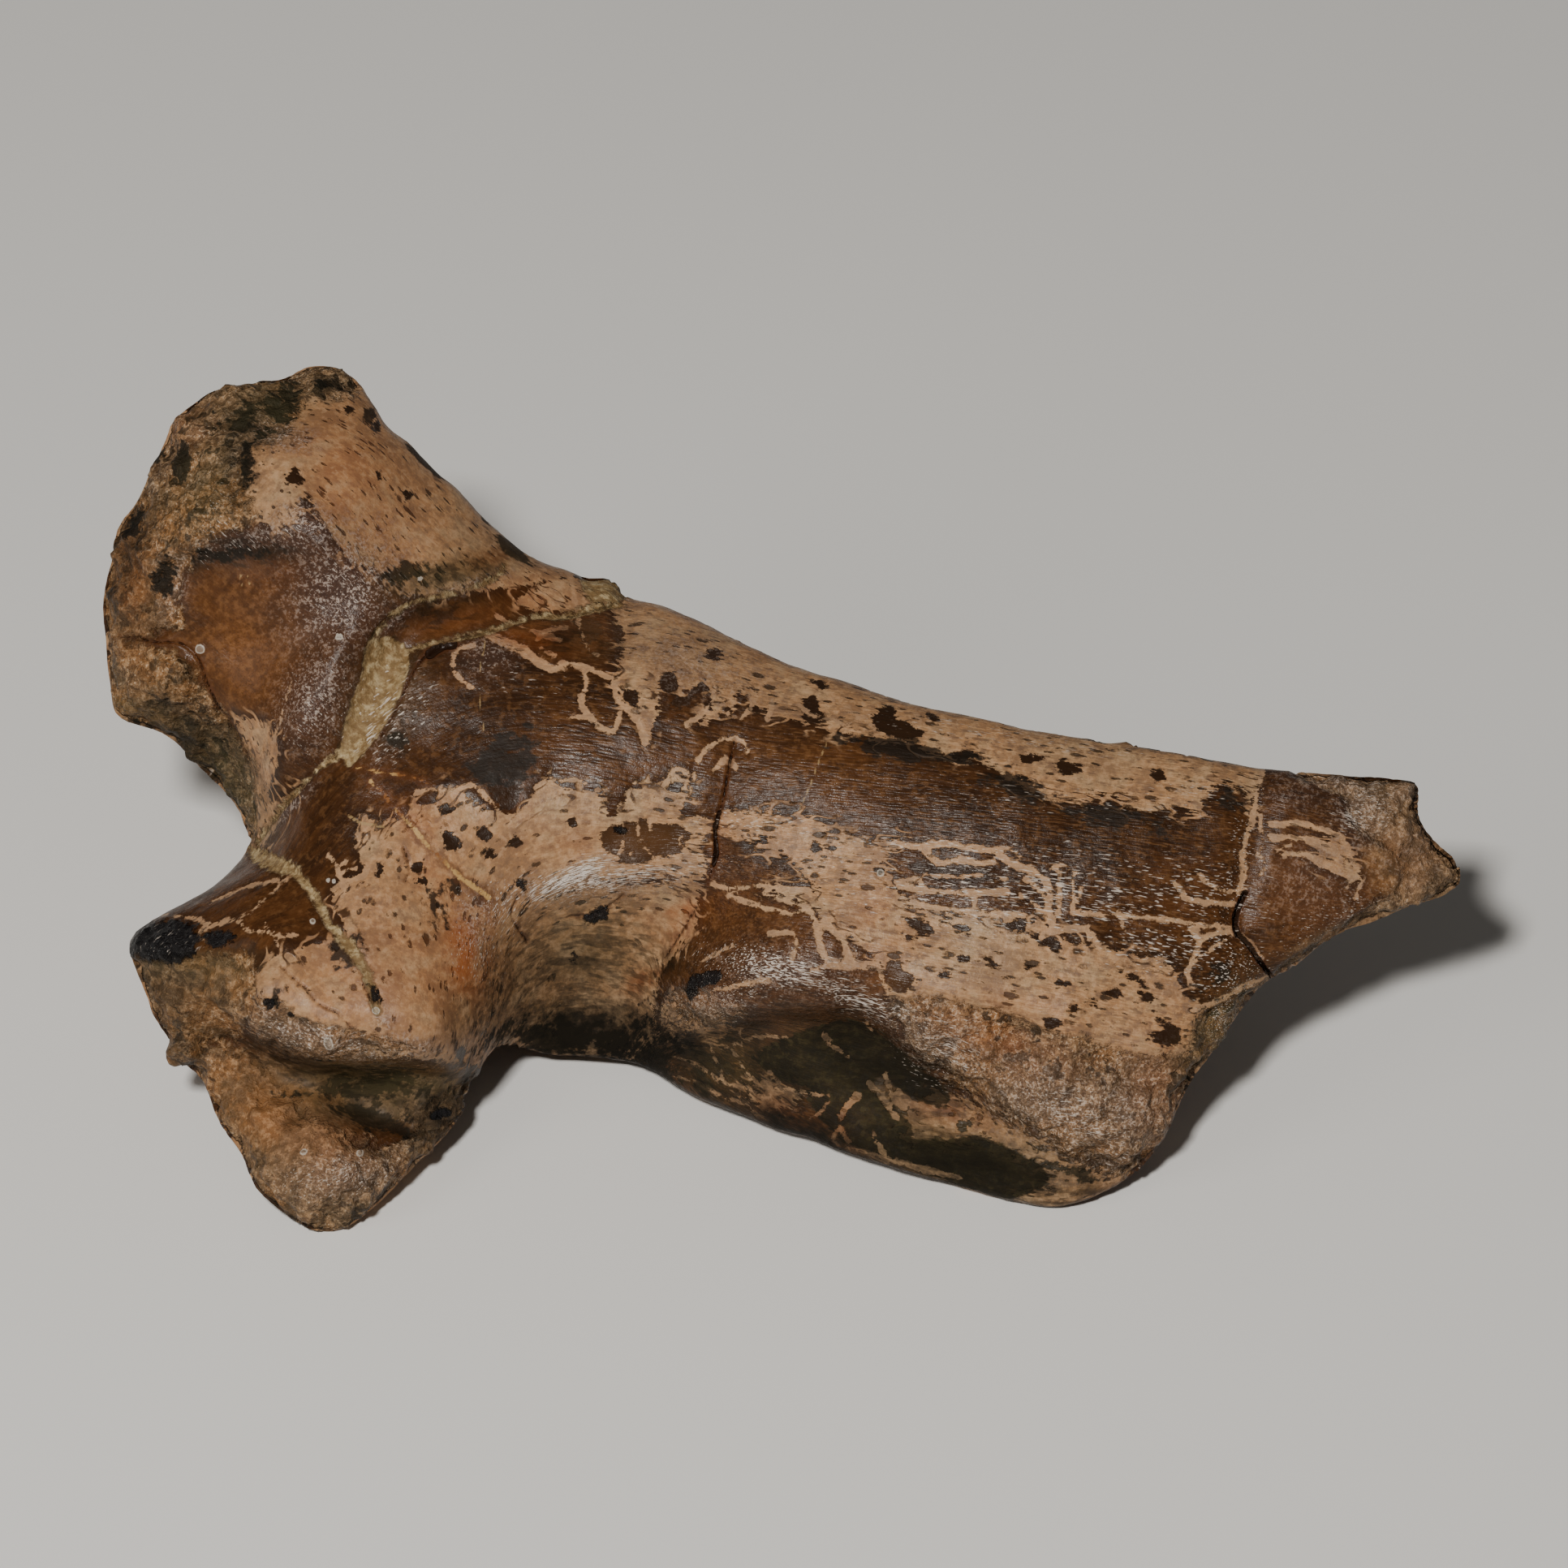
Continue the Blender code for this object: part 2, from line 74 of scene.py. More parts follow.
# Cortex that roots have etched to a pale tan
TAN_AREAS = [
    (752, 745, 765, 800, 757, 830, 762, 862, 790, 890, 798, 912, 806, 890, 815, 868, 812, 845, 822, 830, 840, 852,
     866, 846, 880, 862, 862, 893, 880, 888, 893, 866, 902, 880, 912, 856, 928, 866, 945, 878, 960, 884, 990, 890,
     1018, 897, 1022, 906, 1050, 905, 1075, 912, 1110, 918, 1150, 928, 1165, 936, 1200, 938, 1222, 948, 1240, 962,
     1268, 975, 1290, 986, 1320, 988, 1336, 996, 1350, 985, 1365, 982, 1378, 986, 1392, 998, 1420, 1000, 1450, 996,
     1475, 1004, 1482, 985, 1500, 970, 1520, 968, 1536, 980, 1540, 998, 1547, 980, 1556, 940, 1556, 880, 1300, 830,
     1000, 760, 850, 700, 780, 680),
    (445, 1003, 470, 1012, 500, 1003, 512, 992, 538, 990, 545, 972, 560, 970, 580, 985, 600, 997, 622, 1002, 645,
     995, 655, 975, 678, 953, 690, 965, 715, 977, 735, 972, 745, 985, 752, 1002, 765, 990, 775, 975, 790, 965, 812,
     960, 838, 950, 852, 962, 850, 985, 843, 1000, 862, 1008, 885, 1010, 872, 1030, 862, 1045, 872, 1060, 868, 1080,
     850, 1090, 800, 1085, 745, 1088, 700, 1098, 650, 1115, 622, 1140, 612, 1180, 608, 1230, 606, 1270, 600, 1312,
     570, 1310, 520, 1306, 450, 1303, 380, 1304, 345, 1298, 318, 1280, 307, 1255, 310, 1215, 322, 1182, 350, 1172,
     380, 1164, 405, 1160, 425, 1150, 415, 1122, 408, 1100, 425, 1080, 450, 1075, 440, 1050, 440, 1020),
    (887, 1000, 950, 1000, 1012, 1010, 1030, 1030, 1100, 1036, 1112, 1030, 1103, 1048, 1090, 1058, 1100, 1078, 1104,
     1095, 1114, 1102, 1117, 1118, 1150, 1122, 1200, 1128, 1250, 1131, 1290, 1137, 1300, 1150, 1330, 1160, 1360,
     1166, 1400, 1176, 1440, 1186, 1452, 1202, 1460, 1226, 1478, 1246, 1474, 1265, 1468, 1300, 1450, 1336, 1400,
     1332, 1340, 1312, 1290, 1294, 1240, 1280, 1180, 1264, 1120, 1248, 1096, 1232, 1092, 1195, 1080, 1188, 1062,
     1166, 1035, 1152, 1018, 1136, 1000, 1118, 965, 1108, 940, 1100, 955, 1090, 1003, 1095, 988, 1080, 975, 1062,
     930, 1050, 915, 1036, 885, 1025),
    (350, 500, 372, 440, 450, 430, 480, 480, 500, 520, 580, 590, 650, 655, 705, 695, 690, 715, 640, 722, 560, 732,
     520, 736, 470, 712, 432, 690, 405, 655, 380, 632, 345, 652, 320, 640, 285, 612, 285, 555, 328, 530),
    (640, 735, 690, 712, 745, 728, 735, 745, 700, 752, 650, 750),
    (292, 885, 330, 892, 344, 930, 330, 985, 362, 975, 380, 962, 345, 1010, 318, 1047, 303, 1035, 310, 970, 300,
     925),
    (1148, 1340, 1175, 1350, 1200, 1360, 1250, 1385, 1300, 1415, 1350, 1440, 1410, 1440, 1380, 1470, 1320, 1492,
     1290, 1500, 1240, 1485, 1290, 1458, 1280, 1436, 1240, 1415, 1200, 1400, 1170, 1406, 1130, 1408, 1110, 1395,
     1128, 1370),
    (1626, 1032, 1655, 1038, 1672, 1056, 1678, 1084, 1650, 1080, 1624, 1064),
    (830, 1225, 850, 1250, 900, 1262, 880, 1285, 850, 1270, 820, 1280, 815, 1240),
    (915, 1338, 940, 1334, 978, 1346, 982, 1362, 950, 1368, 922, 1358),
    (612, 1140, 655, 1112, 745, 1086, 850, 1088, 862, 1100, 850, 1150, 815, 1200, 808, 1240, 800, 1300, 740, 1320,
     600, 1320, 606, 1230),
]

# Dark cortex that is left inside the tan, and pores that go into it
DARK_ISLANDS = [
    (988, 862, 1003, 857, 1012, 875, 1018, 887, 1000, 891, 989, 882),
    (1075, 878, 1090, 867, 1103, 872, 1108, 888, 1125, 891, 1138, 905, 1112, 912, 1090, 901, 1074, 893),
    (1140, 875, 1150, 877, 1157, 889, 1145, 888), (1000, 838, 1022, 845, 1012, 851),
    (1172, 928, 1188, 921, 1202, 932, 1180, 937), (1254, 931, 1270, 926, 1284, 934, 1260, 939),
    (1302, 938, 1318, 939, 1338, 952, 1312, 955, 1303, 947), (1252, 951, 1266, 957, 1269, 963, 1255, 961),
    (1418, 952, 1432, 949, 1438, 962, 1420, 963), (585, 1028, 597, 1019, 607, 1030, 598, 1037),
    (597, 1048, 606, 1041, 614, 1053, 602, 1056), (624, 1038, 635, 1031, 641, 1037, 630, 1043),
    (545, 1020, 560, 1028, 570, 1046, 552, 1046), (499, 1068, 520, 1060, 523, 1070, 508, 1074),
    (462, 1070, 468, 1064, 474, 1076, 466, 1081), (510, 1082, 524, 1081, 528, 1087, 514, 1088),
    (737, 1032, 744, 1022, 760, 1016, 800, 1013, 846, 1018, 850, 1032, 840, 1048, 815, 1056, 790, 1066, 768, 1064,
     756, 1052, 742, 1044),
    (602, 968, 620, 958, 642, 966, 640, 984, 628, 998, 608, 990), (535, 998, 548, 990, 562, 999, 545, 1003),
    (700, 1012, 708, 1006, 712, 1016, 704, 1022), (820, 968, 834, 960, 842, 968, 830, 976),
    (1130, 1060, 1160, 1068, 1215, 1072, 1225, 1085, 1180, 1088, 1140, 1080, 1118, 1070),
    (905, 1032, 920, 1036, 936, 1046, 918, 1044), (960, 1052, 966, 1048, 972, 1056, 966, 1060),
    (1000, 1040, 1008, 1036, 1012, 1046, 1004, 1050), (1022, 1044, 1028, 1042, 1032, 1050, 1026, 1052),
    (1215, 1180, 1236, 1184, 1232, 1192, 1218, 1190), (1380, 1196, 1412, 1208, 1406, 1214, 1384, 1204),
    (1400, 1218, 1425, 1230, 1418, 1234, 1402, 1226), (1340, 1232, 1358, 1236, 1352, 1242, 1340, 1238),
    (1420, 1246, 1440, 1262, 1432, 1260, 1420, 1252), (1318, 1240, 1326, 1238, 1328, 1248, 1320, 1250),
    (1260, 1188, 1274, 1190, 1270, 1196, 1260, 1194), (1300, 1205, 1318, 1210, 1312, 1216, 1300, 1212),
    (930, 1030, 946, 1031, 943, 1041), (1075, 1073, 1083, 1066, 1091, 1074, 1083, 1082),
    (1114, 1132, 1145, 1135, 1149, 1146, 1135, 1151), (1171, 1135, 1192, 1139, 1197, 1149, 1180, 1147),
    (1110, 1148, 1129, 1155, 1118, 1157), (1238, 1138, 1263, 1132, 1266, 1149, 1245, 1147),
    (1267, 1150, 1301, 1152, 1306, 1169, 1290, 1166), (1177, 1178, 1196, 1176, 1190, 1188, 1180, 1187),
    (1157, 1198, 1170, 1195, 1173, 1204, 1160, 1205),
    (1092, 1186, 1105, 1182, 1116, 1195, 1126, 1205, 1121, 1219, 1105, 1223, 1094, 1212),
    (1364, 1220, 1375, 1217, 1383, 1226, 1370, 1229), (1285, 1256, 1300, 1253, 1308, 1263, 1290, 1267),
    (1412, 1280, 1430, 1269, 1448, 1264, 1456, 1276, 1450, 1288, 1430, 1286),
    (352, 588, 363, 578, 375, 587, 366, 598, 355, 596), (370, 620, 378, 611, 385, 621, 377, 629),
    (458, 520, 466, 517, 469, 532, 462, 535), (466, 580, 471, 580, 472, 591, 467, 590),
    (494, 608, 501, 602, 507, 612, 500, 618), (426, 500, 434, 498, 436, 508, 428, 509),
    (812, 836, 830, 828, 836, 846, 820, 856), (868, 800, 884, 796, 890, 808, 874, 812),
    (708, 764, 728, 758, 742, 768, 738, 786, 718, 792), (752, 772, 764, 768, 770, 782, 760, 790),
    (764, 852, 774, 846, 788, 858, 784, 870, 770, 864),
    (826, 866, 850, 850, 868, 838, 872, 848, 852, 862, 838, 874), (1177, 1385, 1186, 1376, 1196, 1386, 1186, 1395),
    (1264, 1411, 1282, 1409, 1292, 1419, 1272, 1419), (1282, 1430, 1300, 1432, 1322, 1440, 1300, 1443),
    (1340, 1436, 1362, 1430, 1376, 1434, 1352, 1441), (560, 1298, 568, 1288, 577, 1298, 568, 1312),
    (568, 1330, 575, 1312, 582, 1320, 574, 1345), (820, 1290, 850, 1285, 905, 1320, 870, 1325),
]

# Broken bone whose spongy inside shows
BROKEN_AREAS = [
    (60, 700, 160, 460, 280, 400, 470, 410, 448, 474, 418, 490, 374, 494, 345, 541, 308, 549, 305, 600, 312, 642,
     270, 656, 236, 690, 216, 740, 216, 776, 160, 790, 60, 800),
    (80, 794, 195, 797, 236, 815, 262, 868, 290, 906, 310, 960, 300, 1040, 200, 1000, 80, 900),
    (120, 1187, 240, 1178, 300, 1176, 309, 1215, 302, 1262, 262, 1290, 150, 1300),
    (150, 1270, 290, 1290, 325, 1316, 365, 1356, 415, 1392, 470, 1408, 505, 1400, 530, 1360, 575, 1335, 640, 1330,
     560, 1600, 250, 1600),
    (1092, 1229, 1160, 1232, 1240, 1252, 1330, 1282, 1400, 1300, 1465, 1300, 1500, 1330, 1450, 1420, 1395, 1450,
     1330, 1428, 1250, 1378, 1180, 1342, 1130, 1302, 1100, 1262),
    (1650, 975, 1610, 962, 1600, 946, 1800, 940, 1860, 1050, 1820, 1140, 1700, 1150, 1640, 1190, 1590, 1230, 1572,
     1200, 1640, 1152, 1690, 1118, 1720, 1100, 1728, 1070, 1706, 1040, 1676, 1022),
    (310, 1232, 350, 1236, 380, 1258, 420, 1268, 470, 1280, 505, 1296, 400, 1303, 350, 1298, 316, 1277),
    (1478, 1252, 1530, 1228, 1600, 1200, 1540, 1300, 1470, 1350, 1468, 1290),
    (826, 1226, 850, 1218, 880, 1228, 905, 1238, 918, 1252, 900, 1260, 866, 1260, 838, 1250),
]

# Dark olive cortex under the flange's ridge, with a crisp edge: its own colour and painted shade
SHADED_AREAS = [
    (926, 1304, 940, 1292, 965, 1280, 1000, 1266, 1045, 1256, 1072, 1264, 1098, 1284, 1128, 1312, 1166, 1344, 1166,
     1364, 1122, 1352, 1086, 1328, 1066, 1346, 1040, 1352, 1000, 1340, 960, 1330),
    (1112, 1402, 1160, 1404, 1200, 1398, 1246, 1416, 1284, 1440, 1290, 1460, 1236, 1478, 1180, 1462, 1120, 1440,
     1080, 1424, 1060, 1408),
    (990, 1344, 1014, 1334, 1060, 1340, 1098, 1358, 1126, 1394, 1112, 1408, 1066, 1416, 1036, 1404, 1008, 1376),
]

# Pale mineral that fills the old seams
SEAM_AREAS = [
    (415, 925, 428, 880, 445, 838, 452, 800, 474, 785, 500, 798, 498, 840, 481, 880, 456, 915, 430, 945),
    (715, 706, 740, 704, 770, 706, 770, 738, 740, 741, 722, 735),
    (303, 1040, 330, 1048, 362, 1064, 352, 1076, 310, 1062),
]
SEAM_LINES = [
    (3.5, 452, 805, 465, 778, 485, 757, 510, 742, 548, 734), (2.5, 545, 735, 580, 725, 610, 712, 622, 698),
    (3, 497, 802, 520, 795, 548, 789, 572, 785, 600, 777, 640, 764, 668, 756),
    (4, 668, 756, 700, 757, 730, 750, 764, 744), (3, 418, 930, 395, 946, 366, 975, 340, 1005, 316, 1036),
    (6, 352, 1066, 370, 1082, 385, 1100, 395, 1120, 405, 1136, 420, 1153, 435, 1172, 447, 1190),
    (5, 447, 1190, 455, 1210, 461, 1230, 465, 1246),
]

# Root traces
TRACES = [
    (6, 602, 782, 618, 790, 640, 798, 660, 812, 677, 825),
    (5, 677, 825, 700, 818, 720, 820, 745, 832, 757, 842, 760, 860), (5, 760, 860, 775, 876, 788, 892, 795, 915),
    (4, 720, 825, 722, 845, 716, 862, 725, 880, 735, 893, 755, 900, 763, 880), (3, 700, 882, 732, 886),
    (3, 584, 795, 566, 800, 557, 815, 563, 833, 582, 846), (3, 665, 798, 684, 808),
    (3, 700, 700, 720, 790, 740, 810), (4, 858, 942, 868, 925, 885, 912, 902, 910, 916, 913, 920, 926),
    (4, 880, 950, 894, 935, 906, 946), (3, 857, 950, 850, 976), (3, 660, 970, 674, 960, 680, 945),
    (3, 690, 962, 708, 960, 722, 966), (3, 512, 978, 530, 972, 548, 974),
    (4, 560, 975, 580, 968, 598, 982, 612, 996), (3, 772, 988, 778, 968, 790, 960),
    (2.4, 764, 1012, 770, 1026, 768, 1042, 760, 1056), (2.2, 783, 1010, 787, 1028, 781, 1046, 776, 1054),
    (3.2, 802, 1010, 801, 1030, 798, 1044, 806, 1058), (2.2, 846, 1022, 836, 1036, 846, 1050),
    (2.4, 1140, 1078, 1175, 1080, 1215, 1078, 1240, 1084), (4, 820, 965, 832, 948, 846, 952),
    (3.2, 838, 800, 850, 818, 868, 822, 880, 838, 878, 862, 862, 882, 846, 892), (3, 900, 842, 906, 862, 896, 880),
    (3, 930, 850, 926, 870, 914, 884), (2.6, 952, 862, 946, 884), (2.4, 985, 868, 1000, 880, 1022, 886, 1046, 894),
    (2.4, 1020, 852, 1034, 870, 1060, 880, 1078, 896), (2.4, 1048, 866, 1056, 884),
    (2.4, 1126, 874, 1136, 892, 1160, 900), (2.2, 612, 760, 640, 770, 668, 782, 690, 790),
    (2.0, 660, 790, 676, 776, 700, 772), (1.8, 256, 1112, 275, 1104, 300, 1093, 325, 1087, 342, 1083),
    (2.4, 344, 1085, 336, 1100, 320, 1112, 306, 1125, 294, 1131),
    (3.0, 200, 1127, 235, 1130, 262, 1138, 290, 1132, 303, 1146, 325, 1148, 346, 1153, 367, 1152),
    (2.4, 262, 1138, 242, 1150, 255, 1160), (2.2, 328, 1137, 333, 1150, 343, 1166),
    (3.8, 404, 1054, 414, 1065, 418, 1080, 425, 1090, 422, 1102), (3.4, 415, 1066, 427, 1060),
    (3.4, 419, 1077, 430, 1070, 438, 1070), (3.8, 421, 1087, 436, 1082, 448, 1077, 452, 1070),
    (2.4, 350, 1084, 362, 1074), (2.2, 885, 1295, 900, 1290, 915, 1283, 940, 1278, 977, 1278),
    (3.4, 900, 1292, 908, 1306, 921, 1325, 937, 1337, 956, 1341, 985, 1345, 1012, 1350),
    (2.5, 913, 1270, 912, 1292), (2.5, 1015, 1273, 1026, 1288, 1046, 1302),
    (4.6, 1056, 1350, 1046, 1361, 1036, 1375, 1036, 1391, 1047, 1406), (4, 1036, 1388, 1026, 1402, 1034, 1412),
    (2.6, 1020, 1358, 1011, 1370, 994, 1381), (4, 1070, 1334, 1085, 1348, 1095, 1365, 1106, 1376),
    (4.5, 1090, 1324, 1098, 1345, 1110, 1360, 1126, 1376, 1142, 1392),
    (5, 1106, 1344, 1125, 1360, 1146, 1370, 1152, 1382), (3.5, 1076, 1398, 1086, 1415, 1093, 1432),
    (4, 1045, 1414, 1100, 1430, 1150, 1444, 1182, 1452),
    (3, 828, 1300, 850, 1308, 872, 1322, 890, 1334, 915, 1340, 938, 1352, 960, 1362, 984, 1368),
    (2.4, 858, 1262, 872, 1284, 880, 1306, 892, 1332), (2.4, 830, 1325, 860, 1334, 890, 1352, 920, 1362),
    (2.2, 806, 1290, 826, 1286, 846, 1292), (2.4, 938, 1352, 962, 1340, 1000, 1346, 1020, 1350),
    (2.2, 925, 1345, 922, 1362, 934, 1376), (2.2, 948, 1322, 960, 1334, 956, 1348),
    (4, 942, 1360, 950, 1345, 945, 1335), (3, 1068, 1262, 1075, 1272), (3, 882, 1012, 905, 1012, 940, 1016),
    (4, 878, 1090, 910, 1095, 940, 1090, 962, 1095, 1002, 1097), (4, 898, 1103, 930, 1115, 970, 1124, 1002, 1118),
    (5, 942, 1100, 990, 1117, 1004, 1134, 1010, 1160, 1020, 1186, 1050, 1190, 1080, 1188),
    (5, 1016, 1134, 1030, 1150, 1040, 1160, 1046, 1180, 1062, 1190),
    (3.5, 948, 1150, 972, 1148, 981, 1160, 975, 1184), (3, 1000, 1196, 1022, 1189),
    (2.5, 862, 1184, 880, 1175, 902, 1165), (3.4, 868, 1225, 892, 1218, 918, 1213, 946, 1207),
    (4, 1084, 1194, 1090, 1214, 1096, 1228),
    (5, 1100, 1040, 1130, 1044, 1160, 1040, 1200, 1045, 1226, 1050, 1247, 1065),
    (5, 1247, 1065, 1270, 1071, 1285, 1080, 1293, 1100, 1291, 1120, 1296, 1142, 1284, 1154),
    (5, 1138, 1046, 1155, 1062, 1180, 1060, 1205, 1064, 1222, 1062), (3.5, 1222, 1048, 1240, 1045, 1255, 1055),
    (3, 1104, 1087, 1120, 1086, 1133, 1080, 1136, 1096),
    (4.5, 1108, 1092, 1140, 1098, 1175, 1100, 1200, 1100, 1240, 1099),
    (4.5, 1112, 1112, 1160, 1119, 1210, 1125, 1262, 1128), (3, 1200, 1100, 1202, 1124),
    (4, 1264, 1084, 1278, 1094, 1289, 1108), (4, 1258, 1104, 1272, 1112, 1284, 1124),
    (3.5, 1304, 1068, 1306, 1095, 1304, 1126), (3.5, 1320, 1078, 1323, 1100, 1321, 1122),
    (3.5, 1294, 1070, 1310, 1066, 1327, 1076), (3, 1334, 1090, 1328, 1108, 1330, 1120),
    (4, 1322, 1124, 1360, 1128, 1390, 1129, 1440, 1133, 1480, 1140, 1522, 1144), (3, 1378, 1122, 1385, 1146),
    (4, 1446, 1086, 1460, 1105, 1482, 1112, 1520, 1113), (3, 1478, 1078, 1494, 1092, 1514, 1098, 1534, 1095),
    (4, 1466, 1144, 1478, 1160, 1470, 1180, 1462, 1200, 1470, 1216),
    (4.5, 1478, 1160, 1500, 1150, 1524, 1150, 1541, 1166, 1552, 1180), (3.5, 1470, 1186, 1490, 1171, 1510, 1158),
    (4.5, 1474, 1243, 1500, 1234, 1532, 1216, 1566, 1202), (4, 1300, 1148, 1330, 1144, 1345, 1150, 1352, 1164),
    (3, 1340, 1142, 1342, 1160), (4, 1556, 950, 1549, 975, 1545, 1000, 1537, 1025),
    (4.5, 1537, 1025, 1531, 1050, 1533, 1075, 1527, 1100), (3.5, 1550, 1052, 1560, 1066, 1553, 1076),
    (4, 1566, 1016, 1603, 1015, 1630, 1024, 1653, 1032, 1664, 1056, 1675, 1076),
    (4, 1566, 1033, 1597, 1033, 1630, 1040, 1653, 1056),
    (4, 1582, 1053, 1609, 1053, 1630, 1066, 1656, 1078, 1676, 1083),
    (1.6, 1558, 955, 1556, 985, 1553, 1012, 1556, 1036, 1552, 1056), (2.2, 360, 838, 354, 862, 345, 890, 336, 915),
    (2, 1606, 1173, 1590, 1186, 1570, 1201), (2.5, 1575, 1048, 1592, 1040), (2.5, 1678, 1084, 1671, 1108),
    (2.5, 1660, 1092, 1668, 1084), (3, 1700, 1112, 1715, 1108, 1722, 1098),
]

# Cracks that stand open, dark: half width, how deep they are in millimetres, and the line
CRACKS = [
    (1.4, 0.35, 905, 912, 898, 945, 893, 975, 886, 1003), (3.2, 1.0, 886, 1001, 881, 1025, 883, 1050, 879, 1066),
    (1.0, 0.15, 880, 1062, 872, 1090), (0.9, 0.12, 858, 1118, 838, 1150, 818, 1182),
    (4.0, 1.5, 1534, 1100, 1526, 1118, 1522, 1138, 1526, 1152),
    (3.4, 1.5, 1526, 1150, 1540, 1166, 1552, 1184, 1567, 1203),
    (0.9, 0.2, 347, 1190, 362, 1205, 378, 1218, 388, 1232, 400, 1240, 418, 1250, 432, 1267),
    (0.8, 0.2, 378, 1218, 372, 1212, 366, 1214), (0.9, 0.2, 446, 1212, 452, 1222, 461, 1234),
    (1.2, 0.35, 548, 790, 520, 812, 503, 838, 490, 868, 470, 905), (6.0, 0.9, 530, 806, 544, 796, 558, 794),
    (1.4, 0.45, 150, 784, 188, 790, 222, 793, 244, 812, 258, 850, 276, 890, 300, 935),
    (0.9, 0.2, 700, 1130, 728, 1127, 752, 1116, 768, 1104), (0.9, 0.2, 640, 1105, 632, 1130, 650, 1160),
    (0.8, 0.2, 498, 1045, 505, 1068, 500, 1085), (0.8, 0.2, 900, 760, 925, 790, 960, 806),
]

CRACK_LINES = [(half_width, *line) for half_width, _, *line in CRACKS]

# The knob on the toe's outer edge: its middle, radius in pixels and height in millimetres
KNOB = (228, 1294, 17, 2.4)

# Small beads of old glue, with their radii; each gets a painted highlight ring
BEADS = [
    (246, 800, 6), (418, 785, 5), (518, 713, 4), (463, 1245, 5), (404, 1287, 7), (404, 1084, 3), (411, 1085, 3),
    (385, 1135, 4), (374, 1419, 5), (445, 1419, 5), (1085, 1076, 5),
]

# Pale hairlines, and strands of orange mineral
PALE_LINES = [
    (1.2, 1019, 914, 1008, 940, 998, 968, 983, 1002), (1.0, 600, 780, 590, 840, 596, 900),
    (2.0, 430, 1005, 445, 1014, 472, 1018), (1.3, 297, 708, 299, 730), (1.1, 304, 706, 309, 722),
]
ORANGE_LINES = [
    (2.2, 468, 972, 488, 998, 510, 1020, 526, 1042), (2.6, 524, 1038, 542, 1056, 562, 1076, 582, 1091, 604, 1106),
    (1.6, 440, 945, 475, 952, 510, 958, 532, 968), (1.6, 480, 990, 470, 975, 455, 962),
]
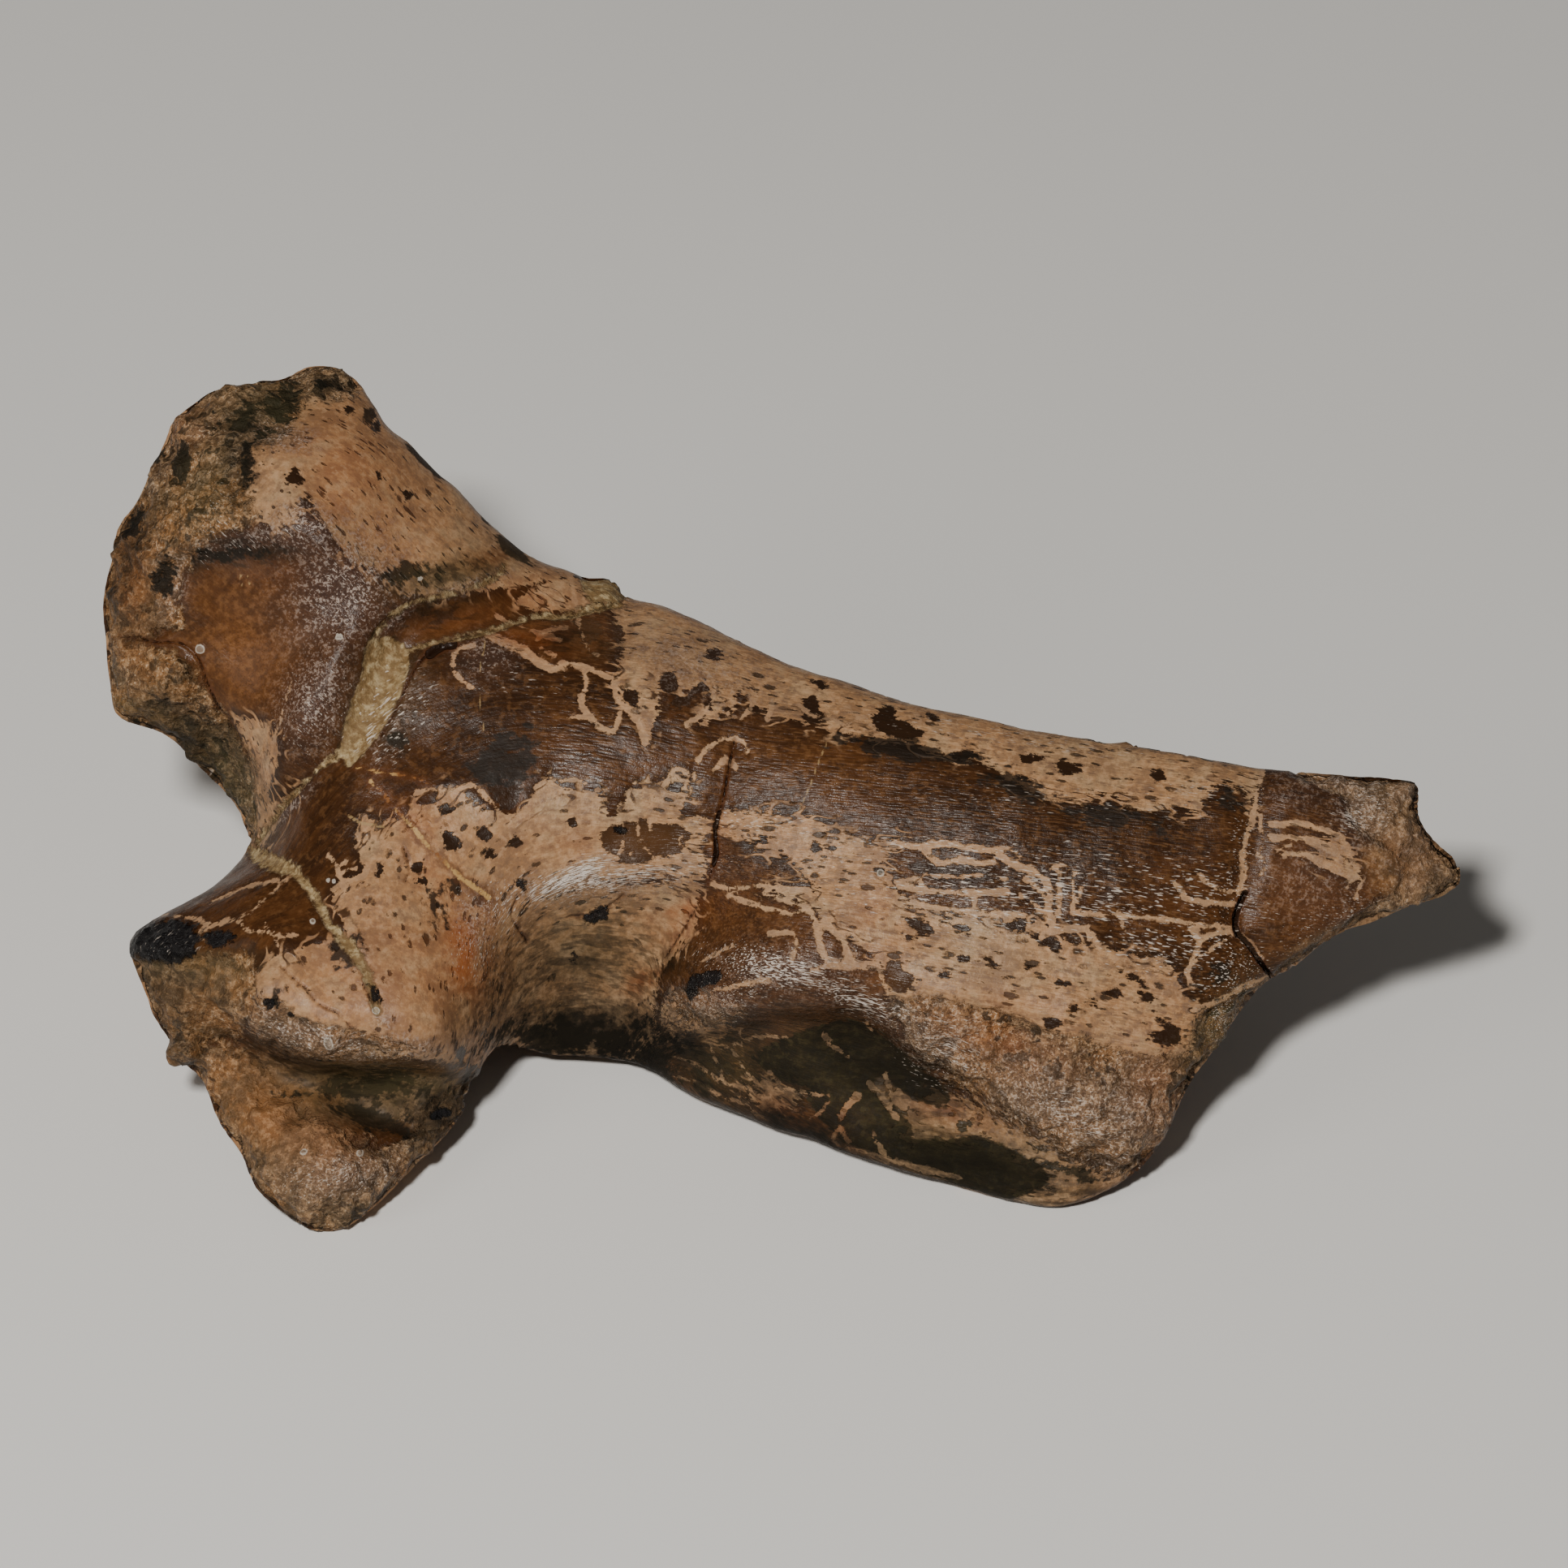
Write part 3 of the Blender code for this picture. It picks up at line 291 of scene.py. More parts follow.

# Soft stains, painted shade and painted glints: the middle, the two half sizes, the turn in degrees and the strength
STAINS = {
    "orange": [
        (160, 720, 30, 70, 0, 0.45), (210, 520, 50, 50, 0, 0.4), (330, 700, 60, 30, 0, 0.25),
        (350, 1370, 90, 50, 40, 0.5), (400, 1350, 40, 16, 30, 0.4), (410, 1400, 60, 40, 20, 0.55),
        (420, 610, 50, 40, 20, 0.45), (430, 575, 90, 60, 35, 0.5), (470, 650, 60, 60, 30, 0.35),
        (490, 1200, 120, 80, 0, 0.4), (510, 1010, 40, 22, 40, 0.6), (545, 1100, 26, 60, -30, 0.55),
        (560, 766, 60, 14, -12, 1.2), (574, 1176, 26, 50, -8, 1.9), (590, 1140, 20, 26, 20, 0.9),
        (600, 690, 40, 12, -15, 0.8), (640, 1000, 40, 20, 0, 0.25), (650, 735, 60, 30, 10, 0.5),
        (650, 775, 50, 12, -6, 0.7), (655, 788, 56, 14, 18, 1.5), (700, 1040, 60, 30, 5, 0.3),
        (795, 1208, 28, 13, -25, 1.1), (838, 1122, 44, 9, -18, 1.0), (840, 1140, 60, 20, -35, 0.6),
        (880, 1236, 40, 16, 15, 0.6), (885, 1040, 12, 60, 6, 0.3), (900, 775, 150, 14, 24, 0.3),
        (995, 1380, 60, 14, 22, 1.2), (1040, 1385, 34, 40, 0, 1.3), (1080, 1130, 30, 60, 10, 0.3),
        (1165, 1372, 60, 20, 20, 0.9), (1240, 1290, 100, 30, 18, 0.6), (1250, 1240, 80, 20, 12, 0.25),
        (1430, 1340, 50, 60, 0, 0.5), (1730, 1060, 50, 40, 0, 0.3),
    ],
    # Manganese stains; the broad ones low in the vault, on the slope under the plate and in the toe's slot are painted
    # shade
    "dark": [
        (160, 640, 14, 24, 20, 0.6), (160, 650, 14, 22, 10, 0.7), (190, 560, 10, 16, 0, 0.6),
        (200, 712, 15, 26, 20, 0.75), (218, 565, 12, 30, 0, 0.7), (290, 683, 48, 10, -3, 0.75),
        (295, 512, 34, 20, -10, 0.75), (305, 568, 9, 34, 0, 0.7), (320, 530, 30, 12, 10, 0.65),
        (340, 1235, 14, 16, 0, 0.5), (345, 495, 30, 22, -20, 0.8), (400, 470, 14, 7, 0, 1.0),
        (425, 1170, 20, 24, 20, 0.5), (430, 470, 30, 10, 10, 0.5), (455, 512, 7, 9, 0, 1.0),
        (455, 1376, 46, 13, 14, 1.2), (460, 1335, 110, 28, 0, 0.62), (488, 912, 13, 8, 0, 0.9),
        (490, 1392, 26, 10, 20, 1.0), (500, 706, 26, 12, -20, 0.7), (526, 568, 26, 8, 45, 1.3),
        (535, 1110, 20, 34, -30, 0.6), (555, 1090, 16, 20, 0, 0.5), (600, 640, 16, 8, 45, 0.6),
        (622, 930, 42, 34, 0, 0.9), (632, 677, 24, 7, 42, 1.3), (640, 655, 26, 10, 45, 0.7),
        (705, 1280, 110, 26, 0, 0.8), (800, 1305, 60, 40, 20, 0.8), (860, 1330, 30, 24, 20, 0.5),
        (1120, 925, 100, 13, 9, 1.0), (1250, 968, 60, 16, 24, 0.9), (1330, 1446, 34, 9, 20, 0.6),
        (1360, 1003, 90, 14, 4, 0.8), (1425, 1022, 18, 22, 0, 0.6), (1505, 1200, 36, 40, 0, 0.6),
        (1515, 985, 26, 18, 0, 0.5),
    ],
    # Green-grey tint, which on the undersides and in the vault also darkens them as painted shade
    "green": [
        (170, 880, 60, 14, 20, 0.8), (230, 1190, 70, 20, -4, 0.6), (250, 600, 40, 60, 20, 0.5),
        (270, 960, 34, 70, -40, 0.9), (330, 505, 60, 40, -10, 0.5), (450, 1335, 120, 34, 0, 0.7),
        (470, 860, 40, 60, 30, 0.4), (470, 1330, 110, 24, 5, 0.8), (560, 706, 70, 20, -14, 0.9),
        (690, 1250, 90, 40, 0, 0.6), (720, 1170, 80, 60, 0, 0.8), (900, 1310, 70, 50, 25, 0.6),
        (1060, 1340, 100, 50, 30, 0.8), (1110, 1420, 90, 16, 14, 1.0), (1180, 1420, 140, 45, 14, 1.0),
        (1500, 1270, 26, 70, 35, 0.7),
    ],
    # Grey-lilac bloom; its white specks are painted glints, brightest along the sparkling band above the vault
    "ash": [
        (215, 720, 14, 40, 15, 0.8), (300, 668, 76, 13, -12, 1.0), (330, 1250, 24, 24, 0, 0.7),
        (345, 535, 36, 16, 14, 1.1), (360, 992, 34, 8, -46, 0.8), (365, 665, 50, 24, 10, 0.7),
        (385, 645, 40, 18, 30, 1.0), (390, 1285, 80, 18, 12, 0.9), (392, 860, 38, 54, 20, 1.0),
        (425, 730, 58, 74, 25, 1.0), (425, 1448, 60, 24, -10, 0.8), (435, 1175, 14, 20, 0, 0.6),
        (455, 705, 40, 16, 35, 1.0), (470, 1260, 16, 16, 0, 0.6), (480, 880, 24, 60, 20, 0.5),
        (492, 757, 34, 9, -48, 1.2), (505, 1290, 40, 14, 10, 0.8), (572, 722, 50, 8, -18, 1.0),
        (590, 1130, 24, 40, 10, 0.7), (600, 808, 34, 26, 10, 0.55), (702, 1083, 50, 12, -28, 1.0),
        (730, 1090, 110, 16, -6, 0.8), (850, 815, 90, 40, 20, 0.35), (870, 1240, 50, 20, 15, 0.8),
        (980, 1200, 90, 34, 6, 0.4), (1150, 1280, 60, 44, 35, 0.7), (1300, 1370, 130, 50, 30, 0.75),
        (1390, 1370, 60, 60, 0, 0.7), (1600, 980, 50, 20, 0, 0.3), (1620, 1090, 60, 50, 0, 0.35),
        (1640, 962, 60, 10, 4, 0.9), (1680, 1000, 34, 40, 10, 0.8), (1735, 975, 30, 16, 0, 0.6),
        (1740, 1050, 50, 50, 0, 0.35),
    ],
    "warm": [
        (300, 800, 80, 100, 0, 1.0), (450, 1340, 140, 40, 5, 0.8), (560, 768, 70, 15, -12, 1.0),
        (655, 772, 60, 12, -6, 0.9), (730, 778, 40, 30, 0, 1.0), (795, 1036, 64, 26, 0, 1.0),
        (840, 1040, 30, 20, 0, 0.6), (960, 950, 120, 40, 5, 0.4), (1000, 1150, 110, 40, 5, 0.5),
        (1090, 1205, 40, 26, 0, 0.8), (1600, 1100, 60, 70, 0, 0.7), (1700, 1070, 50, 40, 0, 0.7),
    ],
    # Painted shade with some grime: darkening in the vault, the hollows, under the flange and on the lobes' edges
    "grime_and_painted_shade": [
        (150, 690, 30, 90, 5, 0.5), (200, 1230, 60, 60, 0, 0.35), (230, 930, 80, 40, 45, 0.6),
        (290, 680, 70, 20, -4, 0.6), (300, 560, 22, 50, 10, 0.5), (360, 1310, 80, 20, 25, 0.6),
        (460, 1345, 130, 36, 4, 0.3), (500, 1160, 110, 90, 0, 0.1), (540, 760, 50, 20, -10, 0.5),
        (540, 1370, 44, 40, 20, 0.75), (560, 1370, 40, 50, 20, 0.6), (565, 704, 66, 15, -14, 0.4),
        (690, 1262, 50, 10, -18, 0.8), (700, 790, 60, 20, 10, 0.4), (700, 1200, 110, 60, -20, 0.6),
        (740, 1275, 120, 50, 8, 1.25), (795, 1208, 28, 13, -25, 0.45), (825, 1192, 12, 5, -50, 0.9),
        (830, 1290, 60, 40, 20, 0.9), (900, 1275, 60, 30, 10, 0.5), (960, 1330, 60, 26, 10, 0.6),
        (1000, 1400, 120, 34, 25, 1.0), (1090, 1320, 110, 34, 30, 0.7), (1190, 1435, 150, 32, 12, 0.8),
        (1530, 1290, 30, 80, 35, 0.25), (1650, 1170, 90, 20, -20, 0.4),
    ],
    "pitch": [
        (205, 1160, 46, 28, -8, 1.1), (268, 1156, 30, 15, 5, 0.7), (330, 1238, 10, 12, 0, 0.7),
        (358, 1252, 10, 10, 0, 0.6), (462, 1225, 8, 18, -25, 0.7), (545, 1372, 22, 10, -10, 0.6),
        (640, 1090, 14, 8, 30, 0.6), (705, 1175, 12, 16, 20, 0.6), (735, 1128, 22, 12, -30, 0.75),
        (765, 1022, 14, 10, 0, 0.6), (850, 1222, 10, 10, 0, 0.8), (868, 1206, 30, 10, -14, 0.9),
    ],
    # Painted highlights: bright glint flecks along the fibres and on the ridges
    "glint": [
        (205, 1160, 46, 28, -8, 0.35), (270, 640, 20, 60, 10, 0.5), (330, 660, 90, 14, -10, 0.5),
        (392, 868, 42, 60, 25, 0.6), (400, 1285, 90, 16, 12, 0.9), (425, 1448, 70, 26, -10, 0.8),
        (430, 715, 62, 66, 20, 0.35), (455, 905, 7, 9, 0, 3.0), (480, 880, 44, 60, 30, 0.7),
        (590, 1170, 30, 40, 0, 0.8), (620, 1125, 24, 30, -30, 1.0), (650, 840, 90, 34, 10, 0.3),
        (702, 1083, 54, 13, -28, 2.6), (730, 1086, 130, 18, -8, 1.5), (800, 1070, 70, 8, 2, 1.4),
        (890, 1235, 60, 26, -10, 0.9), (930, 1014, 80, 14, 3, 0.9), (960, 1192, 80, 24, 8, 1.6),
        (1020, 1210, 60, 16, 10, 1.2), (1060, 1232, 80, 18, 22, 1.5), (1160, 1290, 50, 40, 40, 1.0),
        (1180, 1042, 140, 14, 3, 0.8), (1240, 905, 160, 12, 8, 0.6), (1290, 1100, 230, 50, 5, 1.0),
        (1310, 990, 200, 20, 6, 0.35), (1330, 1380, 90, 34, 30, 1.0), (1445, 1165, 120, 30, 6, 1.0),
        (1475, 1090, 80, 34, 4, 0.9), (1480, 975, 60, 14, 0, 0.5), (1505, 1195, 50, 42, 0, 1.0),
        (1515, 1255, 24, 36, 35, 1.0), (1530, 1040, 16, 40, 0, 0.8), (1650, 1130, 60, 22, -20, 0.7),
        (1668, 1008, 22, 16, 0, 1.6), (1690, 985, 40, 40, 0, 0.9),
    ],
    "worn": [
        (160, 760, 50, 120, 5, 0.5), (190, 860, 60, 50, 20, 0.5), (210, 1230, 70, 46, 0, 0.7),
        (230, 1220, 80, 50, 0, 0.9), (290, 470, 90, 40, -20, 0.4), (340, 1380, 110, 90, 40, 1.0),
        (440, 1345, 120, 44, 5, 1.1), (540, 1360, 50, 60, 20, 0.8), (1650, 1160, 80, 24, -20, 0.8),
        (1740, 1040, 64, 90, 0, 0.95),
    ],
}

# The bone's fibres, from the blade's end towards the lobes. A line starts with its place across the grain.
GRAIN_LINES = [
    (0, 1560, 952, 1300, 890, 1000, 815, 800, 745, 640, 680),
    (30, 1560, 965, 1200, 890, 900, 820, 640, 765, 480, 775),
    (85, 1555, 1005, 1200, 950, 880, 900, 640, 860, 500, 910, 390, 1000, 290, 1070, 170, 1150),
    (155, 1550, 1060, 1200, 1020, 880, 990, 700, 960, 560, 985, 460, 1080, 400, 1180, 330, 1290),
    (215, 1560, 1130, 1200, 1080, 880, 1045, 700, 1040, 600, 1090, 545, 1190, 520, 1290),
    (310, 1480, 1235, 1150, 1180, 900, 1125, 780, 1105, 690, 1160, 630, 1230, 600, 1300),
    (370, 1470, 1290, 1100, 1228, 930, 1200, 830, 1230, 760, 1300),
    (560, 1450, 1440, 1300, 1470, 1000, 1390, 830, 1310),
]
# Beyond the old break, the upper lobe's fibres run their own way: its outline and their slope in degrees
UPPER_LOBE = (
    20, 380, 480, 380, 775, 690, 766, 742, 700, 757, 600, 777, 520, 795, 498, 830, 480, 760, 466, 778, 452, 805,
    428, 880, 416, 930, 366, 975, 316, 1036, 20, 1060,
)
UPPER_LOBE_SLOPE = 41.0

# How far a mark's distances are kept, in millimetres, and the steps that round its corners, in pixels
REACH = 3.0
AREA_STEP, LINE_STEP, GRAIN_STEP = 12, 10, 60
# What the lights face, in metres
LIT_PLACE = (0, 0, 0.03)
# How many points are worked out at a time
BATCH = 20000
# The grain's thin plate: pixels to its unit, and how loosely it keeps to its lines
PLATE_UNIT = 100
PLATE_SLACK = 0.02
# A surface point is hidden where its normal's share towards the eye is below this, and drawn on where it shows enough
HIDDEN_BELOW = 0.1
SEEN_ABOVE = 0.5
# The hidden sides' root traces: how many start, their half widths and steps in millimetres, and how often they branch
TRACE_STARTS = 90
TRACE_HALF_WIDTHS = (0.18, 0.24, 0.32, 0.42, 0.5)
TRACE_STEP = 0.9
BRANCH_SHARE = 0.13
# The half width of the old break where it goes round the back, in pixels
OLD_BREAK = 5.0
# Where the noise of the hidden patches, the hidden breaks and the hidden stains starts
PATCH_SEED, BREAK_SEED, STAIN_SEED = 11, 31, 41


# ---------- Geometry ----------

TURN = Matrix.Rotation(-ELEVATION, 3, "X")
FORTH = np.array(TURN)
SHIFT = np.array(REST_SHIFT)


def to_picture(points):
    """Points in metres as pixels of the picture, and how far behind the picture plane they are, in millimetres."""
    turned = (points / MM - SHIFT) @ FORTH
    spread = 1 + turned[:, 1] / EYE_DISTANCE
    across = CENTRE[0] + turned[:, 0] / spread / PIXEL
    down = CENTRE[1] - turned[:, 2] / spread / PIXEL
    return np.column_stack([across, down]), turned[:, 1]


def pairs(numbers):
    """A flat row of numbers as points."""
    return np.array(numbers, float).reshape(-1, 2)


def spaced(line, step):
    """The same line with a point at least every step, rounded at its corners."""
    ends = np.vstack([2 * line[0] - line[1], line, 2 * line[-1] - line[-2]])
    points = []
    for p0, p1, p2, p3 in zip(ends, ends[1:], ends[2:], ends[3:]):
        count = max(1, math.ceil(np.linalg.norm(p2 - p1) / step))
        for t in np.arange(count) / count:
            bend = 2 * p0 - 5 * p1 + 4 * p2 - p3
            twist = 3 * p1 - p0 - 3 * p2 + p3
            points.append(0.5 * (2 * p1 + (p2 - p0) * t + bend * t**2 + twist * t**3))
    points.append(line[-1])
    return np.array(points)


def segment_distance(points, starts, ends):
    """The distance from each point to the nearest of the segments."""
    nearest = np.full(len(points), np.inf)
    for start, end in zip(starts, ends):
        along = end - start
        t = np.clip((points - start) @ along / max(along @ along, 1e-12), 0, 1)
        away = points - start - t[:, None] * along
        nearest = np.minimum(nearest, np.sqrt((away * away).sum(1)))
    return nearest


def inside(points, outline):
    """Whether each point is inside the closed outline."""
    crossed = np.zeros(len(points), bool)
    for (x0, y0), (x1, y1) in zip(outline, np.roll(outline, -1, axis=0)):
        if y0 == y1:
            continue
        level = (points[:, 1] > y0) != (points[:, 1] > y1)
        crossed ^= level & (points[:, 0] < (x1 - x0) * (points[:, 1] - y0) / (y1 - y0) + x0)
    return crossed


def within_reach(pixels, points):
    """Which pixels a mark with these points can reach."""
    margin = REACH / PIXEL
    return np.flatnonzero(((pixels > points.min(0) - margin) & (pixels < points.max(0) + margin)).all(1))


def area_field(pixels, outlines):
    """Millimetres inside (above 0) or outside (below 0) the nearest of the outlines, within the reach."""
    field = np.full(len(pixels), -REACH)
    for outline in map(pairs, outlines):
        near = within_reach(pixels, outline)
        smooth = spaced(np.vstack([outline, outline[:1]]), AREA_STEP)
        distance = segment_distance(pixels[near], smooth[:-1], smooth[1:]) * PIXEL
        signed = np.where(inside(pixels[near], smooth[:-1]), distance, -distance)
        field[near] = np.maximum(field[near], np.clip(signed, -REACH, REACH))
    return field


def line_field(pixels, lines):
    """Millimetres inside (above 0) or outside (below 0) the nearest of the lines, within the reach."""
    field = np.full(len(pixels), -REACH)
    for half_width, *line in lines:
        line = spaced(pairs(line), LINE_STEP)
        near = within_reach(pixels, line)
        distance = segment_distance(pixels[near], line[:-1], line[1:])
        field[near] = np.maximum(field[near], np.clip((half_width - distance) * PIXEL, -REACH, REACH))
    return field


def dot_field(pixels, dots):
    """Millimetres inside (above 0) or outside (below 0) the nearest of the round dots."""
    away = [radius - np.hypot(pixels[:, 0] - x, pixels[:, 1] - y) for x, y, radius in dots]
    return np.maximum(np.max(away, axis=0) * PIXEL, -REACH)


def plate_bend(distance):
    """The thin plate's own curve over a distance."""
    return distance**2 * np.log(np.maximum(distance, 1e-9))


def grain_places(pixels, depth):
    """Each point's place along and across the bone's fibres, and its depth, in millimetres."""
    knots, values = [], []
    for across, *line in GRAIN_LINES:
        line = spaced(pairs(line), GRAIN_STEP)
        steps = np.linalg.norm(np.diff(line, axis=0), axis=1)
        along = line[0, 0] - np.concatenate([[0.0], np.cumsum(steps)])
        knots.append(line)
        values.append(np.column_stack([along, np.full(len(line), float(across))]))
    knots, values = np.vstack(knots) / PLATE_UNIT, np.vstack(values)
    away = np.linalg.norm(knots[:, None] - knots[None], axis=2)
    flat = np.column_stack([np.ones(len(knots)), knots])
    bend = plate_bend(away) + PLATE_SLACK * np.eye(len(knots))
    system = np.block([[bend, flat], [flat.T, np.zeros((3, 3))]])
    weights = np.linalg.solve(system, np.vstack([values, np.zeros((3, 2))]))
    places = np.empty((len(pixels), 3))
    for start in range(0, len(pixels), BATCH):
        part = pixels[start : start + BATCH] / PLATE_UNIT
        away = np.linalg.norm(part[:, None] - knots[None], axis=2)
        flat = np.column_stack([np.ones(len(part)), part])
        places[start : start + BATCH, :2] = np.hstack([plate_bend(away), flat]) @ weights
    slope = math.radians(UPPER_LOBE_SLOPE)
    upper = inside(pixels, pairs(UPPER_LOBE))
    across, down = pixels[upper, 0], pixels[upper, 1]
    places[upper, 0] = across * math.cos(slope) + down * math.sin(slope)
    places[upper, 1] = down * math.cos(slope) - across * math.sin(slope)
    places[:, :2] *= PIXEL
    places[:, 2] = depth
    return places


def fade(x):
    """0 at and below 0, 1 at and above 1, and smooth between."""
    x = np.clip(x, 0, 1)
    return x * x * (3 - 2 * x)


def fractal(points, seed, size, octaves=3):
    """Smooth noise between about -1 and 1 with the given grain size, at points in metres."""
    offset = Vector((seed * 7.31, seed * 3.17, seed * 5.03))
    scale = 1.0 / (size * MM)
    return np.array([noise.fractal(Vector(p) * scale + offset, 1.0, 2.0, octaves) for p in points])


def granules(points, seed, size):
    """Rounded grains with narrow valleys between them, 0 in a valley and 1 on a grain."""
    offset = Vector((seed * 2.7, seed * 1.9, seed * 4.1))
    scale = 1.0 / (size * MM)
    found = (noise.voronoi(Vector(p) * scale + offset)[0] for p in points)
    return np.array([min(1.0, (far[1] - far[0]) * 1.6) for far in found])


def point_values(mesh, name):
    """Three numbers for each of the mesh's points."""
    values = np.empty(len(mesh.vertices) * 3)
    mesh.vertices.foreach_get(name, values)
    return values.reshape(-1, 3)


class Surface:
    """The bone's mesh as arrays, with what is needed to mark it."""

    def __init__(self, mesh):
        self.points = point_values(mesh, "co")
        self.normals = point_values(mesh, "normal")
        self.pixels, self.depth = to_picture(self.points)
        eye = (FORTH @ np.array([0.0, -EYE_DISTANCE, 0.0]) + SHIFT) * MM
        to_eye = eye - self.points
        to_eye /= np.linalg.norm(to_eye, axis=1)[:, None]
        self.facing = (self.normals * to_eye).sum(1)
        # 1 where the eye sees the surface, 0 round the back
        self.front = fade((self.facing + 0.12) / 0.2)


def grown_lines(tree, seeds, seed):
    """Branching root traces that wander over the hidden surface, as lists of points with their half widths."""
    random = np.random.default_rng(seed)
    lines = []
    starts = [(Vector(p), Vector(n), len(TRACE_HALF_WIDTHS) - 1, None) for p, n in seeds]
    while starts:
        place, normal, depth, heading = starts.pop()
        if heading is None:
            heading = Vector(random.normal(size=3))
        heading = (heading - heading.dot(normal) * normal).normalized()
        half_width = TRACE_HALF_WIDTHS[depth]
        points = [place.copy()]
        for _ in range(int(random.integers(5, 14))):
            side = heading.cross(normal)
            heading = (heading + side * float(random.normal(0, 0.32))).normalized()
            place, normal, _, _ = tree.find_nearest(place + heading * TRACE_STEP * MM)
            heading = (heading - heading.dot(normal) * normal).normalized()
            points.append(place.copy())
            if depth > 0 and random.random() < BRANCH_SHARE:
                turn = float(random.choice([-1, 1])) * float(random.uniform(0.5, 1.1))
                branch = (heading + heading.cross(normal) * turn).normalized()
                starts.append((place.copy(), normal.copy(), depth - 1, branch))
        lines.append((half_width, np.array(points)))
    return lines


def nearby_lines(surface, lines, chosen):
    """The field of lines in space, in millimetres, for the chosen points."""
    tree = KDTree(len(chosen))
    for order, index in enumerate(chosen):
        tree.insert(surface.points[index], order)
    tree.balance()
    field = np.full(len(surface.points), -REACH)
    for half_width, points in lines:
        for start, end in zip(points, points[1:]):
            middle = Vector((start + end) / 2)
            reach = np.linalg.norm(end - start) / 2 + 1.6 * MM
            near = [chosen[order] for _, order, _ in tree.find_range(middle, reach)]
            if near:
                away = segment_distance(surface.points[near], [start], [end]) / MM
                field[near] = np.maximum(field[near], half_width - away)
    return field


def hidden_marks(surface, mesh, seed):
    """Tan patches and root traces for the sides that the picture doesn't show."""
    hidden = np.flatnonzero(surface.facing < HIDDEN_BELOW)
    tree = BVHTree.FromPolygons(surface.points.tolist(), [p.vertices[:] for p in mesh.polygons])
    patches = np.full(len(surface.points), -REACH)
    broad = fractal(surface.points[hidden], seed, size=22.0, octaves=2)
    ragged = fractal(surface.points[hidden], seed + 1, size=5.0)
    patches[hidden] = np.clip((broad + 0.35 * ragged - 0.05) * 6.0, -REACH, REACH)
    random = np.random.default_rng(seed)
    edge = hidden[np.abs(patches[hidden]) < 1.0]
    picked = random.choice(edge, size=min(TRACE_STARTS, len(edge)), replace=False)
    seeds = [(surface.points[i], surface.normals[i]) for i in picked]
    return patches, nearby_lines(surface, grown_lines(tree, seeds, seed), hidden)


def marks(surface, mesh):
    """Every mark as a field of numbers on the mesh's points."""
    pixels, front = surface.pixels, surface.front
    seen, hidden = front > SEEN_ABOVE, surface.facing < HIDDEN_BELOW

    def shown(field):
        return np.where(seen, field, -REACH)

    patches, branches = hidden_marks(surface, mesh, PATCH_SEED)
    lumps = fractal(surface.points[hidden], BREAK_SEED, size=26.0, octaves=2)
    hidden_broken = np.full(len(pixels), -REACH)
    hidden_broken[hidden] = np.clip((lumps - 0.42) * 9.0, -REACH, REACH)
    border = pairs(UPPER_LOBE + UPPER_LOBE[:2])
    old_break = (OLD_BREAK - segment_distance(pixels, border[2:-1], border[3:])) * PIXEL
    old_break = np.where(hidden, np.clip(old_break, -REACH, REACH), -REACH)
    seam = np.maximum(area_field(pixels, SEAM_AREAS), line_field(pixels, SEAM_LINES))
    fields = {
        "etched": np.maximum(shown(area_field(pixels, TAN_AREAS)), np.where(hidden, patches, -REACH)),
        "trace": np.maximum(shown(line_field(pixels, TRACES)), np.where(hidden, branches, -REACH)),
        "island": shown(area_field(pixels, DARK_ISLANDS)),
        "broken": np.maximum(shown(area_field(pixels, BROKEN_AREAS)), hidden_broken),
        "seam": np.maximum(shown(seam), old_break),
        "crack": shown(line_field(pixels, CRACK_LINES)),
        "shaded": shown(area_field(pixels, SHADED_AREAS)),
        "pale": shown(line_field(pixels, PALE_LINES)),
        "strand": shown(line_field(pixels, ORANGE_LINES)),
        "bead": shown(dot_field(pixels, BEADS)),
    }
    # Fibres stand out on the blade and the flange, and less on the lobes
    upper = inside(pixels, pairs(UPPER_LOBE))
    fields["fibre"] = np.where(upper, 0.35, 0.25 + 0.75 * fade((pixels[:, 0] - 540) / 260))
    vault = ((pixels[:, 0] - 730) / 130) ** 2 + ((pixels[:, 1] - 1190) / 85) ** 2
    fields["fibre"] *= 1 - 0.85 * np.exp(-(vault**2))
    for order, (kind, stains) in enumerate(STAINS.items()):
        veil = fractal(surface.points, STAIN_SEED + order, size=18.0, octaves=2)
        fields[kind] = fade((veil - 0.25) * 2.2) * (1 - front) * 0.5
        for x, y, a, b, turn, strength in stains:
            turn = math.radians(turn)
            across = (pixels[:, 0] - x) * math.cos(turn) + (pixels[:, 1] - y) * math.sin(turn)
            down = (pixels[:, 1] - y) * math.cos(turn) - (pixels[:, 0] - x) * math.sin(turn)
            share = strength * np.exp(-((across / a) ** 2 + (down / b) ** 2))
            fields[kind] = np.maximum(fields[kind], share * front)
    return fields


def refined(mesh, chosen):
    """The mesh with the chosen faces' edges halved."""
    work = bmesh.new()
    work.from_mesh(mesh)
    work.faces.ensure_lookup_table()
    edges = {edge for index in chosen for edge in work.faces[index].edges}
    bmesh.ops.subdivide_edges(work, edges=list(edges), cuts=1, use_grid_fill=True)
    bmesh.ops.triangulate(work, faces=[f for f in work.faces if len(f.verts) > 4])
    work.to_mesh(mesh)
    work.free()


def faces_near(mesh, wanted):
    """The faces with a wanted vertex."""
    return [p.index for p in mesh.polygons if any(wanted[v] for v in p.vertices)]


def placed(name, data):
    """A new object in the scene."""
    made = bpy.data.objects.new(name, data)
    bpy.context.scene.collection.objects.link(made)
    return made


